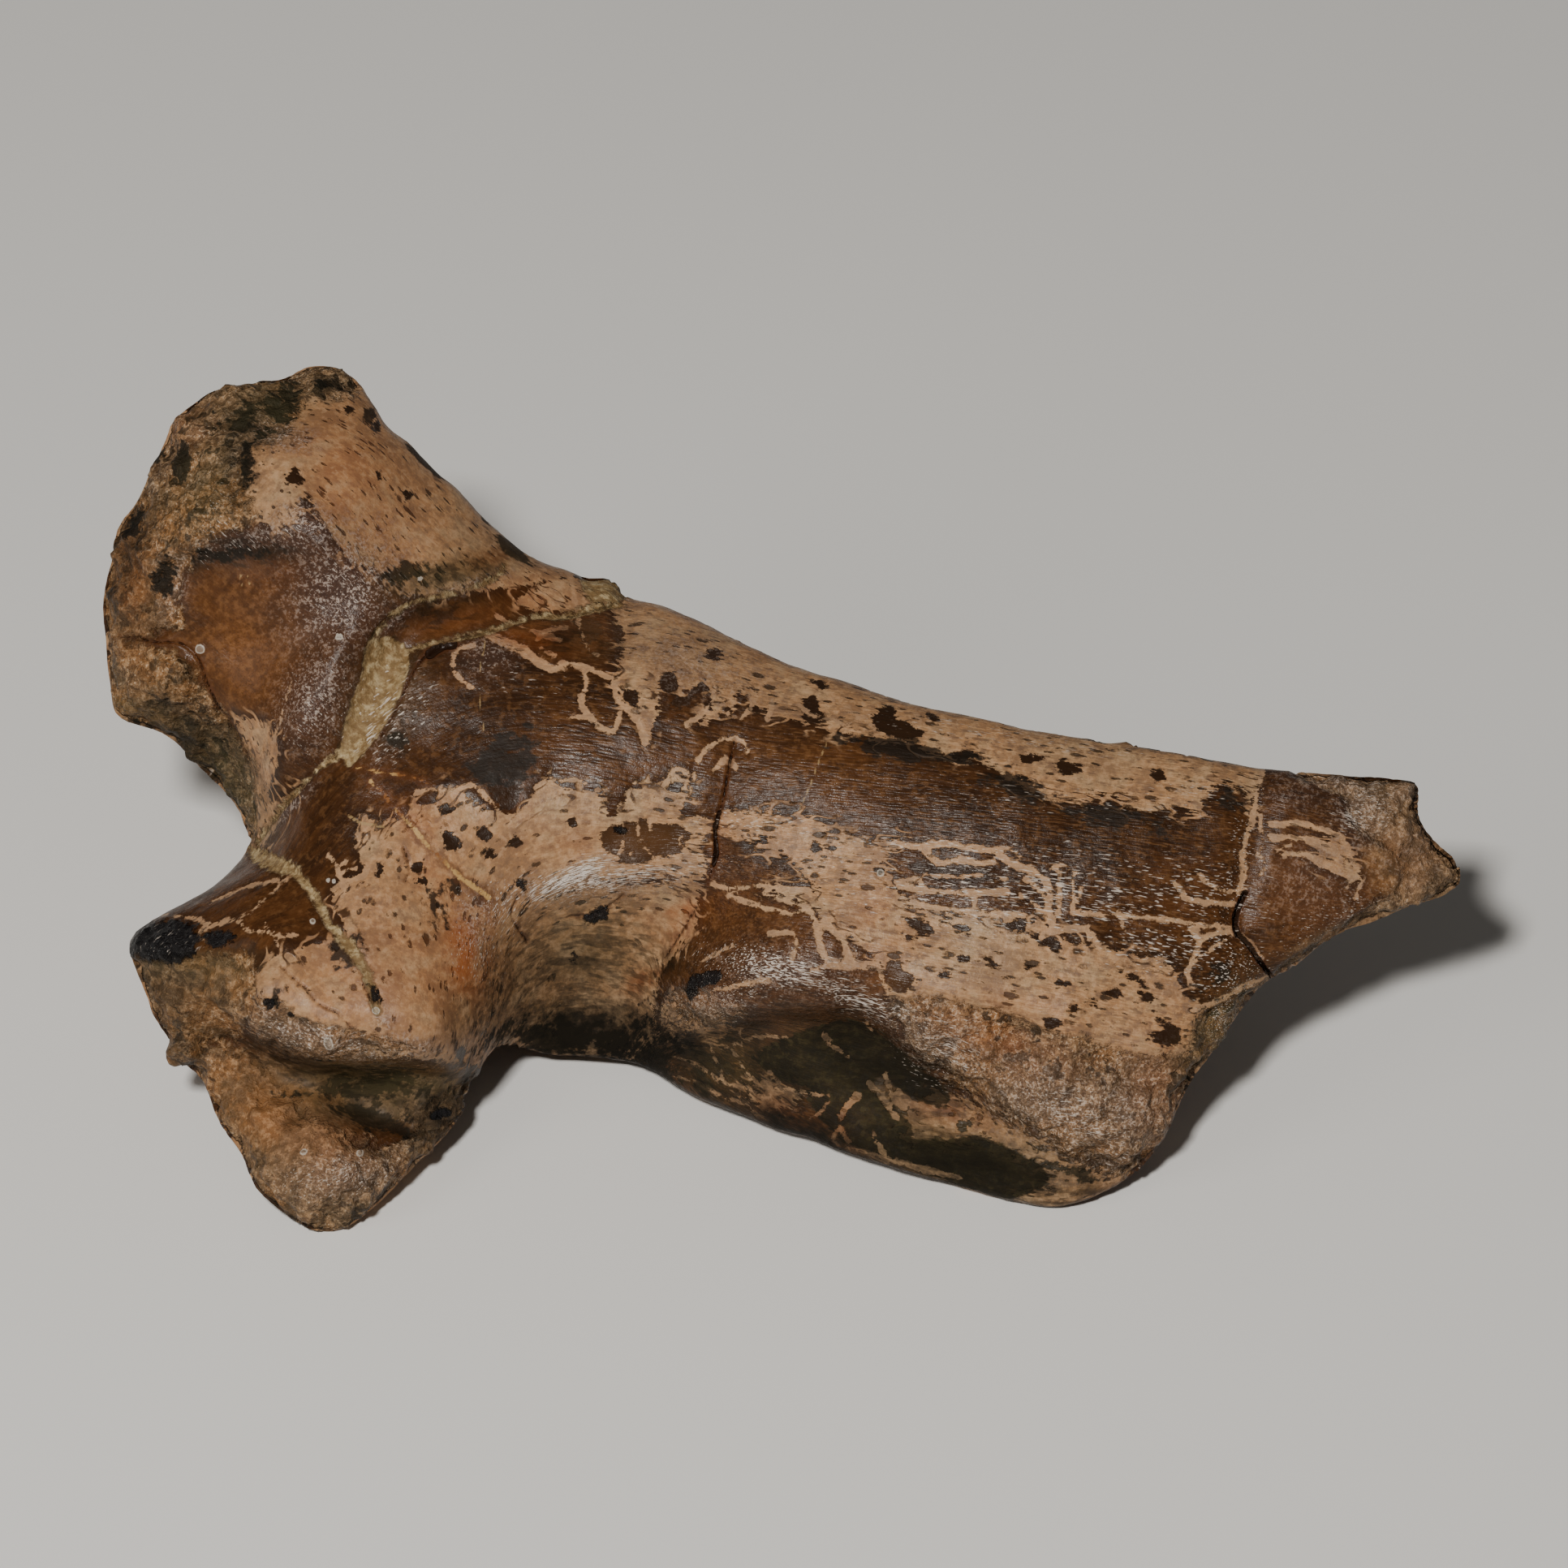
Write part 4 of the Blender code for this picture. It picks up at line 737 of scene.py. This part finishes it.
def smooth_copy(settings):
    """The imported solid's surface with even faces and without its facets."""
    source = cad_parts[NODE]
    work = bmesh.new()
    work.from_mesh(source.data)
    bmesh.ops.remove_doubles(work, verts=work.verts, dist=2e-6)
    mesh = bpy.data.meshes.new("fossil_bone_surface")
    work.to_mesh(mesh)
    work.free()
    bone = placed("fossil_bone_surface", mesh)
    remesh = bone.modifiers.new("even_faces", "REMESH")
    remesh.mode = "VOXEL"
    remesh.voxel_size = settings.face_size
    soften = bone.modifiers.new("soften", "SMOOTH")
    soften.factor = 0.5
    soften.iterations = 4
    graph = bpy.context.evaluated_depsgraph_get()
    even = bpy.data.meshes.new_from_object(bone.evaluated_get(graph))
    bone.modifiers.clear()
    bone.data = even
    return bone


def relief(surface, fields, settings):
    """How far each point moves along its normal, in millimetres."""
    points, front = surface.points, surface.front
    height = 0.35 * fractal(points, seed=3, size=14.0)
    height += 0.10 * fractal(points, seed=4, size=3.0, octaves=2)
    broken = fade(0.5 + fields["broken"] / 1.2)
    chosen = np.flatnonzero(broken > 0.01)
    lumps = np.zeros(len(points))
    lumps[chosen] = 0.95 * fractal(points[chosen], seed=5, size=4.2, octaves=4)
    lumps[chosen] += 0.5 * (granules(points[chosen], seed=6, size=2.6) - 0.5)
    lumps[chosen] += 0.25 * fractal(points[chosen], seed=7, size=1.3, octaves=2)
    height += settings.broken_relief * broken * lumps
    height -= 0.5 * broken
    etched = fade(0.5 + np.maximum(fields["etched"], fields["trace"]) / 0.4)
    height -= 0.06 * etched * (1 - broken)
    seam = fade(0.5 + fields["seam"] / 0.4)
    height += seam * (-0.35 + 0.2 * fractal(points, seed=8, size=1.6))
    island = fade(0.3 + fields["island"] / 0.5)
    height -= 0.07 * island
    pitch = fade(fields["pitch"] * 1.4 - 0.2)
    height += 0.45 * pitch * fractal(points, seed=9, size=1.5)
    height += 0.22 * np.sqrt(np.clip(fields["bead"] / 0.5, 0, 1))
    x, y, radius, rise = KNOB
    knob = np.hypot(surface.pixels[:, 0] - x, surface.pixels[:, 1] - y) / radius
    height += rise * np.exp(-(knob**4)) * front
    for half_width, depth, *line in CRACKS:
        field = line_field(surface.pixels, [(half_width, *line)])
        height -= depth * fade(1.0 + (field - half_width * PIXEL) / 0.25) * (front > 0.3)
    return height


def store(mesh, name, values):
    """Keeps a field on the mesh's points under the name."""
    layer = mesh.attributes.new(name, "FLOAT", "POINT")
    layer.data.foreach_set("value", np.asarray(values, np.float32))


def dress_bone(settings):
    """The bone's visible surface: refined, marked and given its relief."""
    bone = smooth_copy(settings)
    mesh = bone.data
    surface = Surface(mesh)
    pixels = surface.pixels
    # Faces are halved where a mark's edge is within so many millimetres, and again along the thinnest marks
    edges = np.abs(np.maximum(area_field(pixels, TAN_AREAS), line_field(pixels, TRACES))) < 0.75
    edges |= np.abs(area_field(pixels, DARK_ISLANDS)) < 0.6
    edges |= line_field(pixels, CRACK_LINES + PALE_LINES + ORANGE_LINES + SEAM_LINES) > -0.8
    edges |= area_field(pixels, BROKEN_AREAS) > -0.6
    refined(mesh, faces_near(mesh, edges & (surface.facing > 0.0)))
    surface = Surface(mesh)
    thin = np.maximum(line_field(surface.pixels, CRACK_LINES), dot_field(surface.pixels, BEADS))
    refined(mesh, faces_near(mesh, (thin > -0.35) & (surface.facing > 0.0)))
    surface = Surface(mesh)
    fields = marks(surface, mesh)
    height = relief(surface, fields, settings)
    moved = surface.points + surface.normals * (height * MM)[:, None]
    moved[:, 2] = np.maximum(moved[:, 2], 0.0)
    mesh.vertices.foreach_set("co", moved.ravel())
    mesh.update()
    for name, values in fields.items():
        store(mesh, name, values)
    grain = mesh.attributes.new("grain", "FLOAT_VECTOR", "POINT")
    grain.data.foreach_set("vector", grain_places(surface.pixels, surface.depth).ravel())
    mesh.shade_smooth()
    return bone


# ---------- Materials ----------


def linear(colour):
    """A colour of 0 to 255 values on the screen as linear light."""
    shares = [c / 255 for c in colour]
    return tuple(c / 12.92 if c <= 0.04045 else ((c + 0.055) / 1.055) ** 2.4 for c in shares) + (1.0,)


class Wire:
    """A value socket that takes part in sums, products and comparisons."""

    def __init__(self, paint, socket):
        self.paint = paint
        self.socket = socket

    def maths(self, operation, *values, clamp=False):
        return self.paint.node("ShaderNodeMath", {"operation": operation, "use_clamp": clamp}, *values)

    def __add__(self, other):
        return self.maths("ADD", self, other)

    def __sub__(self, other):
        return self.maths("SUBTRACT", self, other)

    def __rsub__(self, other):
        return self.maths("SUBTRACT", other, self)

    def __mul__(self, other):
        return self.maths("MULTIPLY", self, other)

    def __truediv__(self, other):
        return self.maths("DIVIDE", self, other)

    __radd__ = __add__
    __rmul__ = __mul__

    def held(self):
        """The value kept between 0 and 1."""
        return self.maths("ADD", self, 0.0, clamp=True)

    def above(self, level, softness):
        """0 well below the level and 1 well above it, with a soft step between."""
        return ((self - level) / softness + 0.5).held()

    def near(self, level, width):
        """1 where the value is close to the level and 0 beyond the width, which draws thin winding lines."""
        away = self - level
        return 1.0 - away.maths("ABSOLUTE", away).above(width, width * 0.7)

    def over(self, other):
        """The larger of two values."""
        return self.maths("MAXIMUM", self, other)


class Paint:
    """Builds one material's nodes."""

    def __init__(self, name):
        self.material = bpy.data.materials.new(name)
        self.material.use_nodes = True
        self.tree = self.material.node_tree
        self.shader = self.tree.nodes["Principled BSDF"]

    def link(self, value, socket):
        if isinstance(value, Wire):
            self.tree.links.new(value.socket, socket)
        else:
            socket.default_value = value

    def node(self, kind, settings=None, *values, output=0, **named):
        """A node of a kind: its settings first, then the values or links of its sockets."""
        made = self.tree.nodes.new(kind)
        for name, value in (settings or {}).items():
            setattr(made, name, value)
        for socket, value in zip(made.inputs, values):
            self.link(value, socket)
        for name, value in named.items():
            self.link(value, made.inputs[name.replace("_", " ")])
        return Wire(self, made.outputs[output])

    def mix(self, share, first, second):
        """Two colours mixed by a share."""
        made = self.tree.nodes.new("ShaderNodeMix")
        made.data_type = "RGBA"
        made.clamp_factor = True
        # The node's inputs and output for colours come after those for other kinds of values
        for socket, value in ((0, share), (6, first), (7, second)):
            self.link(value, made.inputs[socket])
        return Wire(self, made.outputs[2])

    def coats(self, colour, *coats):
        """A colour under coats, each with its share. Colours are links or 0 to 255 on the screen."""
        for share, coat in coats:
            colour = self.mix(share, *(c if isinstance(c, Wire) else linear(c) for c in (colour, coat)))
        return colour

    def field(self, name):
        """A field that the mesh holds under the name."""
        return self.node("ShaderNodeAttribute", {"attribute_name": name}, output="Fac")

    def noise(self, place, size, detail, roughness):
        """Noise of 0 to 1 with a grain size in millimetres."""
        return self.node(
            "ShaderNodeTexNoise", None, output="Fac", Vector=place, Scale=1.0 / size, Detail=detail, Roughness=roughness
        )

    def cells(self, place, size):
        """Distance to the cells' middles, with a cell size in millimetres."""
        return self.node("ShaderNodeTexVoronoi", None, output="Distance", Vector=place, Scale=1.0 / size)

    def stretched(self, place, factors):
        """The places with each axis multiplied by its factor."""
        return self.node("ShaderNodeVectorMath", {"operation": "MULTIPLY"}, place, factors)


def bone_paint(settings):
    """The fossil's colours and gloss, from the fields on its mesh."""
    paint = Paint("fossil_bone")
    field = paint.field
    place = paint.node("ShaderNodeTexCoord", None, output="Object")
    place = paint.node("ShaderNodeVectorMath", {"operation": "SCALE"}, Vector=place, Scale=1.0 / MM)
    fibres = paint.node("ShaderNodeAttribute", {"attribute_name": "grain"}, output="Vector")

    def drawn_out(length):
        """The fibres' places, so that a pattern is drawn out along them."""
        return paint.stretched(fibres, (1.0 / length, 1.0, 1.0))

    streak = paint.noise(drawn_out(7.0), 0.9, 3.0, 0.6)
    hair = paint.noise(drawn_out(8.0), 0.24, 1.0, 0.5)
    torn = paint.noise(drawn_out(3.0), 0.85, 4.0, 0.65)
    cloud = paint.noise(place, 16.0, 2.0, 0.5)
    patch = paint.noise(place, 4.5, 4.0, 0.6)
    fine = paint.noise(place, 1.1, 4.0, 0.65)
    grit = paint.noise(place, 0.4, 2.0, 0.7)
    no_hair, no_patch, no_fine, no_grit = 1.0 - hair, 1.0 - patch, 1.0 - fine, 1.0 - grit

    # Where each finish lies: its drawn edge, torn along the fibres
    fibre = field("fibre")
    torn_edge = (torn - 0.5) * (fibre * 4.2) + (hair - 0.5) * fibre + (fine - 0.5) * 2.2
    fine_edge = (torn - 0.5) * 0.8 + (fine - 0.5) * 0.7 + (grit - 0.5) * 0.4
    root_edge = (patch - 0.5) * 1.1 + (torn - 0.5) * 1.2 + (fine - 0.5) * 1.0 + (grit - 0.5) * 0.3
    area = field("etched") + torn_edge
    island = (field("island") + (torn - 0.5) * 2.2 + (fine - 0.5) * 1.6 + (hair - 0.5) * 0.6).above(0.02, 0.2)
    trace = (field("trace") + root_edge).above(0.04, 0.14)
    etched = (area.above(0.0, 0.16) * (1.0 - island)).over(trace)
    island = island * (1.0 - trace)
    broken = (field("broken") + (patch - 0.5) * 4.0 + (fine - 0.5) * 3.0).above(0.0, 0.9)
    seam_place = field("seam") + torn_edge * 0.4 + (patch - 0.5) * 1.7 + (fine - 0.5) * 0.7
    seam = seam_place.above(0.05, 0.4)
    crack = (field("crack") + root_edge * 0.35).above(0.08, 0.14)
    # Lens-shaped pores, drawn out along the fibres, in the etched places and the finer ones in the cortex
    large_pores = (paint.cells(drawn_out(2.4), 2.3) + (torn - 0.5) * 0.5).above(0.17, 0.05)
    small_pores = (paint.cells(drawn_out(3.4), 0.95) + (grit - 0.5) * 0.3).above(0.2, 0.08)
    porous = patch.above(0.54 - fibre * 0.09, 0.06)
    pores = (1.0 - large_pores) * porous
    pores = pores.over((1.0 - small_pores) * torn.above(0.46, 0.06) * fibre.above(0.2, 0.1))
    # Short bright flecks along the fibres, for the painted glints
    flecks = paint.noise(drawn_out(8.0), 0.17, 1.0, 0.5)
    # Winding fingers of the etching beyond its edge, and slits of cortex inside it
    worm = paint.noise(drawn_out(2.2), 1.9, 1.0, 0.4)
    fingers = worm.near(0.5, 0.035) * area.above(-1.3, 0.9) * patch.above(0.46, 0.08)
    slits = worm.near(0.42, 0.025) * (1.0 - area.above(2.0, 1.4)) * torn.above(0.47, 0.08)
    etched = (etched * (1.0 - slits * 0.9)).over(fingers * (1.0 - island)).over(trace)
    # Thin winding lines for the painted shade in the crevices of broken bone
    crevice_shade = paint.noise(place, 2.4, 4.0, 0.7).near(0.5, 0.022)

    # Polished brown cortex, darkest along the edge of what is etched, and its redder places
    warm = paint.coats(
        (112, 72, 40),
        (cloud.above(0.52, 0.2), (94, 60, 34)),
        (patch.above(0.56, 0.12) * 0.45, (64, 40, 22)),
        (fine.above(0.55, 0.1) * 0.4, (134, 92, 56)),
        (no_fine.above(0.56, 0.1) * 0.45, (62, 38, 22)),
        (no_grit.above(0.58, 0.08) * 0.3, (52, 32, 20)),
    )
    brown = paint.coats(
        settings.deep_brown,
        (cloud.above(0.5, 0.3), settings.warm_brown),
        (streak.above(0.53, 0.16) * 0.6, (36, 21, 11)),
        (patch.above(0.57, 0.1) * 0.45, (30, 18, 10)),
        (fine.above(0.58, 0.12) * 0.4, (108, 74, 44)),
        (hair.above(0.62, 0.14) * fibre * 0.35, (126, 90, 58)),
        (no_hair.above(0.62, 0.12) * fibre * 0.5, (34, 21, 12)),
        (field("warm") * 0.8, warm),
        (area.above(-0.9, 0.8) * 0.6, (38, 24, 15)),
    )

    # Tan that roots have etched
    tearing = fibre * 0.75 + 0.25
    tan = paint.coats(
        settings.etched_tan,
        (patch.above(0.5, 0.3), settings.rosy_tan),
        (streak.above(0.55, 0.14) * (fibre * 0.35 + 0.1), (130, 98, 68)),
        (hair.above(0.6, 0.16) * fibre * 0.4, (196, 160, 122)),
        (no_hair.above(0.62, 0.12) * fibre * 0.45, (104, 76, 50)),
        (cloud.above(0.56, 0.2) * 0.35, (146, 124, 96)),
        (torn.above(0.62, 0.08) * tearing * 0.55, (96, 68, 44)),
        (patch.above(0.56, 0.07) * 0.5, (116, 90, 68)),
        (no_patch.above(0.58, 0.1) * 0.35, (148, 128, 100)),
        (fine.above(0.55, 0.1) * 0.55, (120, 94, 72)),
        (no_fine.above(0.58, 0.1) * 0.4, (182, 148, 116)),
        (torn.above(0.54, 0.06) * fine.above(0.5, 0.08) * tearing * 0.5, (98, 76, 62)),
        (grit.above(0.6, 0.08) * 0.25, (106, 80, 58)),
        (pores * 0.88, (44, 32, 22)),
        (trace * 0.3, (182, 148, 116)),
    )

    # Broken, spongy bone: dull lumps with dark pits between them, painted shade in the crevices, and pale crumbs on
    # them whose brightest specks are painted glints
    iron = (field("orange") * (0.1 + patch * 0.9 + (fine - 0.5) * 1.2)).held()
    worn = field("worn").held()
    rough = 1.0 - worn * 0.85
    crumbs_and_glints = grit.above(0.6, 0.08) * fine.above(0.47, 0.12) * patch.above(0.5, 0.3)
    pits = paint.noise(place, 3.0, 3.0, 0.6)
    rubble = paint.coats(
        settings.broken_bone,
        (patch.above(0.5, 0.2), (98, 72, 44)),
        (cloud.above(0.5, 0.1) * 0.5, (146, 98, 54)),
        ((1.0 - cloud).above(0.52, 0.1) * 0.45, (116, 98, 80)),
        (worn * 0.5, (118, 88, 58)),
        (fine.above(0.54, 0.08) * 0.55, (172, 138, 102)),
        (no_fine.above(0.56, 0.08) * rough * 0.75, (68, 50, 32)),
        (no_patch.above(0.54, 0.1) * 0.7, (66, 54, 38)),
        (crevice_shade * rough * 0.7, (44, 33, 22)),
        (crumbs_and_glints * rough * 0.75, (210, 190, 164)),
        (no_grit.above(0.6, 0.08) * rough * 0.4, (52, 38, 25)),
        (iron * 0.7, (160, 88, 40)),
        (pits.above(0.585, 0.05) * rough * 0.8, (30, 25, 16)),
        (pits.near(0.56, 0.012) * rough * 0.22, (176, 150, 118)),
    )

    # Ashy bloom with painted glint specks, manganese stains that also stand for shade in places, and green stains that
    # also darken the undersides as painted shade
    ash = field("ash")
    bloom_and_glints = (grit * 0.6 + fine * 0.4).above(0.55, 0.06)
    dark = (field("dark") + (patch - 0.5) * 1.8 + (torn - 0.5) * 1.4 + (fine - 0.5)).above(0.44, 0.2)
    dark = dark * field("dark").above(0.1, 0.1)
    green = (field("green") * (0.45 + patch * 0.7)).held()

    # The mineral in the seams, the strands and the hairlines
    mineral = paint.coats(
        settings.seam_mineral,
        (patch.above(0.5, 0.16), (126, 102, 68)),
        (fine.above(0.55, 0.12) * 0.6, (186, 168, 132)),
        (no_fine.above(0.56, 0.1) * 0.6, (104, 82, 52)),
        (streak.above(0.5, 0.12) * 0.5, (112, 86, 54)),
        (no_grit.above(0.62, 0.1) * 0.3, (84, 66, 44)),
    )
    strand_halo = (field("strand") + root_edge * 1.4).above(-0.45, 0.5)
    strand = (field("strand") + root_edge * 0.7).above(0.02, 0.14)
    pale = (field("pale") + fine_edge * 0.25).above(0.0, 0.1)

    # Painted shade and grime in the hollows, black glassy crusts, painted glints and beads of old glue
    shaded = (field("shaded") + (torn - 0.5) * 1.6 + (fine - 0.5)).above(0.0, 0.3) * (1.0 - trace)
    olive = paint.coats(
        (20, 20, 10),
        (patch.above(0.5, 0.2), (42, 36, 20)),
        (fine.above(0.56, 0.08) * 0.5, (64, 59, 36)),
        (no_fine.above(0.55, 0.1) * 0.6, (12, 15, 9)),
    )
    ripple = paint.noise(paint.stretched(place, (0.35, 1.0, 1.6)), 1.7, 3.0, 0.6)
    shade_and_grime_field = field("grime_and_painted_shade")
    grime_and_painted_shade = shade_and_grime_field * (0.55 + patch * 0.9 + (torn - 0.5) * fibre) + shade_and_grime_field.above(0.1, 0.1) * (fine - 0.5) * 0.8
    grime_and_painted_shade = grime_and_painted_shade.held()
    pitch = (field("pitch") + (patch - 0.5) * 0.8 + (fine - 0.5) * 0.8).above(0.45, 0.1)
    glint = (flecks + field("glint") * 0.14 + (torn - 0.5) * 0.3).above(0.75, 0.06)
    glint = glint * field("glint").above(0.15, 0.15)
    bead = field("bead") + (fine - 0.5) * 0.5

    colour = paint.coats(
        brown,
        (etched, tan),
        (iron * (0.3 + etched * 0.45), (150, 78, 30)),
        (broken.over(worn.above(0.45, 0.3)), rubble),
        (island * 0.85, paint.coats((40, 26, 16), (field("warm"), (80, 54, 32)))),
        (ash * (0.2 + fine * 0.4), paint.coats((96, 76, 68), (broken, (158, 126, 102)))),
        # White specks of the bloom, painted as glints
        (ash * bloom_and_glints * 0.55, (188, 174, 164)),
        (ash * no_grit.above(0.54, 0.1) * 0.6, (48, 35, 31)),
        # Manganese stain, and painted shade where the dark stains lie low in the vault and under the plate
        (dark * 0.88, settings.manganese_and_shade),
        (dark * broken * 0.6, (17, 16, 10)),
        (green * 0.6, (84, 78, 48)),
        (seam_place.above(-0.25, 0.35) * 0.55, (66, 46, 28)),
        (seam * (0.35 + fine * 0.6 + patch * 0.5).held(), mineral),
        (strand_halo * 0.55, (84, 50, 28)),
        (strand, paint.coats((122, 78, 42), (patch.above(0.5, 0.12), (172, 138, 88)))),
        (pale * 0.6, (160, 134, 94)),
        ((field("crack") + root_edge).above(-0.15, 0.3) * 0.5, (74, 40, 22)),
        (crack * 0.9, (30, 19, 13)),
        # Painted shade on the flange's underside, in dark olive
        (shaded * 0.85, olive),
        # Painted shade with some grime, darkest low in the vault and under the flange
        (shade_and_grime_field.above(0.15, 0.2) * ripple.above(0.52, 0.08) * 0.5, (24, 20, 11)),
        (grime_and_painted_shade * 0.95, (15, 12, 6)),
        (pitch * 0.95, (20, 20, 22)),
        # Painted glints
        (glint * (0.5 + field("glint") * 0.2), (202, 191, 180)),
        (bead.above(0.05, 0.1) * 0.35, (150, 142, 130)),
        # Painted highlight ring round each bead
        (bead.above(0.02, 0.08) * (1.0 - bead.above(0.22, 0.1)) * 0.5, (196, 188, 176)),
    )

    shine = ash.held()
    gloss = 0.31 + (grit - 0.5) * 0.4 + (patch - 0.5) * 0.3 + etched * 0.1 + broken * 0.05 - shine * 0.12
    gloss = gloss + dark * 0.2 + shaded * 0.3 + seam * 0.2 + worn * 0.15 + grime_and_painted_shade * 0.3 + green * 0.15
    gloss = gloss - pitch * 0.24 - glint * 0.1
    depth = streak * fibre * 0.11 + hair * fibre * (0.08 - etched * 0.05) + fine * 0.09 + grit * 0.02
    depth = depth + broken * (fine * 0.55 + grit * 0.16) + shine * (grit * 0.10 + fine * 0.1)
    depth = depth - etched * 0.05 - pores * etched * 0.15 - crack * 0.25 + seam * fine * 0.3
    depth = depth + pitch * fine * 0.8 + field("glint") * flecks * 0.12
    inputs = paint.shader.inputs
    inputs["Specular IOR Level"].default_value = 0.14
    paint.link(colour, inputs["Base Color"])
    paint.link(paint.node("ShaderNodeClamp", None, gloss, 0.2, 0.9), inputs["Roughness"])
    bump = paint.node("ShaderNodeBump", None, output="Normal", Strength=1.0, Distance=MM, Height=depth)
    paint.link(bump, inputs["Normal"])
    return paint.material


def floor_paint(settings):
    """Matt pale board, with the slightest mottle."""
    paint = Paint("studio_floor")
    place = paint.node("ShaderNodeTexCoord", None, output="Object")
    cloud = paint.noise(place, 0.6, 3.0, 0.5)
    pale = settings.floor_shade
    near = (pale, pale * 0.995, pale * 0.98, 1.0)
    far = (pale * 0.97, pale * 0.965, pale * 0.95, 1.0)
    colour = paint.mix(cloud.above(0.5, 0.6), near, far)
    paint.link(colour, paint.shader.inputs["Base Color"])
    paint.shader.inputs["Roughness"].default_value = 0.85
    return paint.material


# ---------- Settings, operators and panel ----------


def screen_colour(name, description, default):
    return FloatVectorProperty(name=name, description=description, default=default, size=3, min=0, max=255)


class FossilBoneSettings(bpy.types.PropertyGroup):
    face_size: FloatProperty(
        name="Face size", description="Side of the surface's even faces before refinement",
        default=0.001, min=0.0004, unit="LENGTH",
    )
    broken_relief: FloatProperty(
        name="Broken relief", description="Height of the lumps on broken bone, as a share of the usual",
        default=1.0, min=0.0, subtype="FACTOR",
    )
    deep_brown: screen_colour("Deep brown", "Darker cortex", (50, 30, 15))
    warm_brown: screen_colour("Warm brown", "Lighter cortex", (76, 46, 23))
    etched_tan: screen_colour("Etched tan", "Cortex that roots have etched", (166, 128, 92))
    rosy_tan: screen_colour("Rosy tan", "Redder places of the etched cortex", (150, 108, 72))
    broken_bone: screen_colour("Broken bone", "Spongy bone in the breaks", (132, 104, 72))
    seam_mineral: screen_colour("Seam mineral", "Pale olive filling of the seams", (156, 134, 96))
    # Also the colour of the painted shade where dark stains lie in the hollows
    manganese_and_shade: screen_colour("Manganese", "Green-black stain", (26, 20, 14))


class FossilStageSettings(bpy.types.PropertyGroup):
    lens_distance: FloatProperty(
        name="Camera distance", description="From the camera to the picture plane",
        default=EYE_DISTANCE * MM, min=0.2, unit="LENGTH",
    )
    floor_shade: FloatProperty(
        name="Floor shade", description="How pale the floor is", default=0.72, min=0.0, max=1.0,
        subtype="FACTOR",
    )
    key_power: FloatProperty(
        name="Key light", description="Power of the light above the camera", default=16.0, min=0.0, unit="POWER"
    )
    fill_power: FloatProperty(
        name="Fill light", description="Power of the light on the left", default=2.0, min=0.0, unit="POWER"
    )
    image_side: IntProperty(
        name="Picture side", description="The square picture's side in pixels", default=1932, min=1
    )


class FOSSIL_OT_bone(bpy.types.Operator):
    """Makes the bone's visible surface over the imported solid"""

    bl_idname = "fossil.make_bone"
    bl_label = "Make bone"

    def execute(self, context):
        settings = context.scene.fossil_bone
        bone = dress_bone(settings)
        bone.data.materials.clear()
        bone.data.materials.append(bone_paint(settings))
        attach(bone, "root")
        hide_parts(NODE)
        return {"FINISHED"}


def soft_light(name, place, size, power, colour):
    """A square soft box that faces the bone, with its place and size in metres."""
    data = bpy.data.lights.new(name, "AREA")
    data.shape = "SQUARE"
    data.size = size
    data.energy = power
    data.color = colour
    light = placed(name, data)
    light.location = place
    light.rotation_euler = (Vector(LIT_PLACE) - Vector(place)).to_track_quat("-Z", "Y").to_euler()


class FOSSIL_OT_stage(bpy.types.Operator):
    """Lays the floor, hangs the lights and sets up the camera"""

    bl_idname = "fossil.make_stage"
    bl_label = "Make stage"

    def execute(self, context):
        settings = context.scene.fossil_stage
        bpy.ops.mesh.primitive_plane_add(size=8.0, location=(0, 0, 0))
        floor = context.object
        floor.name = "studio_floor"
        floor.data.materials.append(floor_paint(settings))
        soft_light("key_light", (-0.24, -0.72, 0.96), 0.13, settings.key_power, (1.0, 0.965, 0.91))
        soft_light("fill_light", (-0.9, -0.55, 0.6), 0.5, settings.fill_power, (1.0, 0.95, 0.88))
        world = bpy.data.worlds.new("studio")
        world.use_nodes = True
        sky = world.node_tree.nodes["Background"].inputs
        sky["Color"].default_value = (0.82, 0.78, 0.73, 1)
        sky["Strength"].default_value = 0.10
        context.scene.world = world

        data = bpy.data.cameras.new("camera")
        camera = placed("camera", data)
        camera.location = TURN @ Vector((0, -settings.lens_distance, 0)) + Vector(REST_SHIFT) * MM
        camera.rotation_euler = (math.radians(90) - ELEVATION, 0, 0)
        data.sensor_width = 36.0
        data.lens = data.sensor_width * settings.lens_distance / (settings.image_side * PIXEL * MM)
        data.clip_start = 0.01
        data.clip_end = 50.0
        context.scene.camera = camera
        return {"FINISHED"}


class FOSSIL_PT_panel(bpy.types.Panel):
    """Lists the fossil's operators and settings"""

    bl_idname = "FOSSIL_PT_panel"
    bl_label = "Fossil"
    bl_space_type = "VIEW_3D"
    bl_region_type = "UI"
    bl_category = "Fossil"

    def draw(self, context):
        scene = context.scene
        for group, operator in ((scene.fossil_bone, FOSSIL_OT_bone), (scene.fossil_stage, FOSSIL_OT_stage)):
            box = self.layout.box()
            box.operator(operator.bl_idname)
            for name in group.__annotations__:
                box.prop(group, name)


CLASSES = (FossilBoneSettings, FossilStageSettings, FOSSIL_OT_bone, FOSSIL_OT_stage, FOSSIL_PT_panel)


def register():
    for cls in CLASSES:
        bpy.utils.register_class(cls)
    bpy.types.Scene.fossil_bone = PointerProperty(type=FossilBoneSettings)
    bpy.types.Scene.fossil_stage = PointerProperty(type=FossilStageSettings)


def unregister():
    del bpy.types.Scene.fossil_stage
    del bpy.types.Scene.fossil_bone
    for cls in reversed(CLASSES):
        bpy.utils.unregister_class(cls)


def main():
    register()
    bpy.ops.fossil.make_bone()
    bpy.ops.fossil.make_stage()


if __name__ == "__main__":
    main()
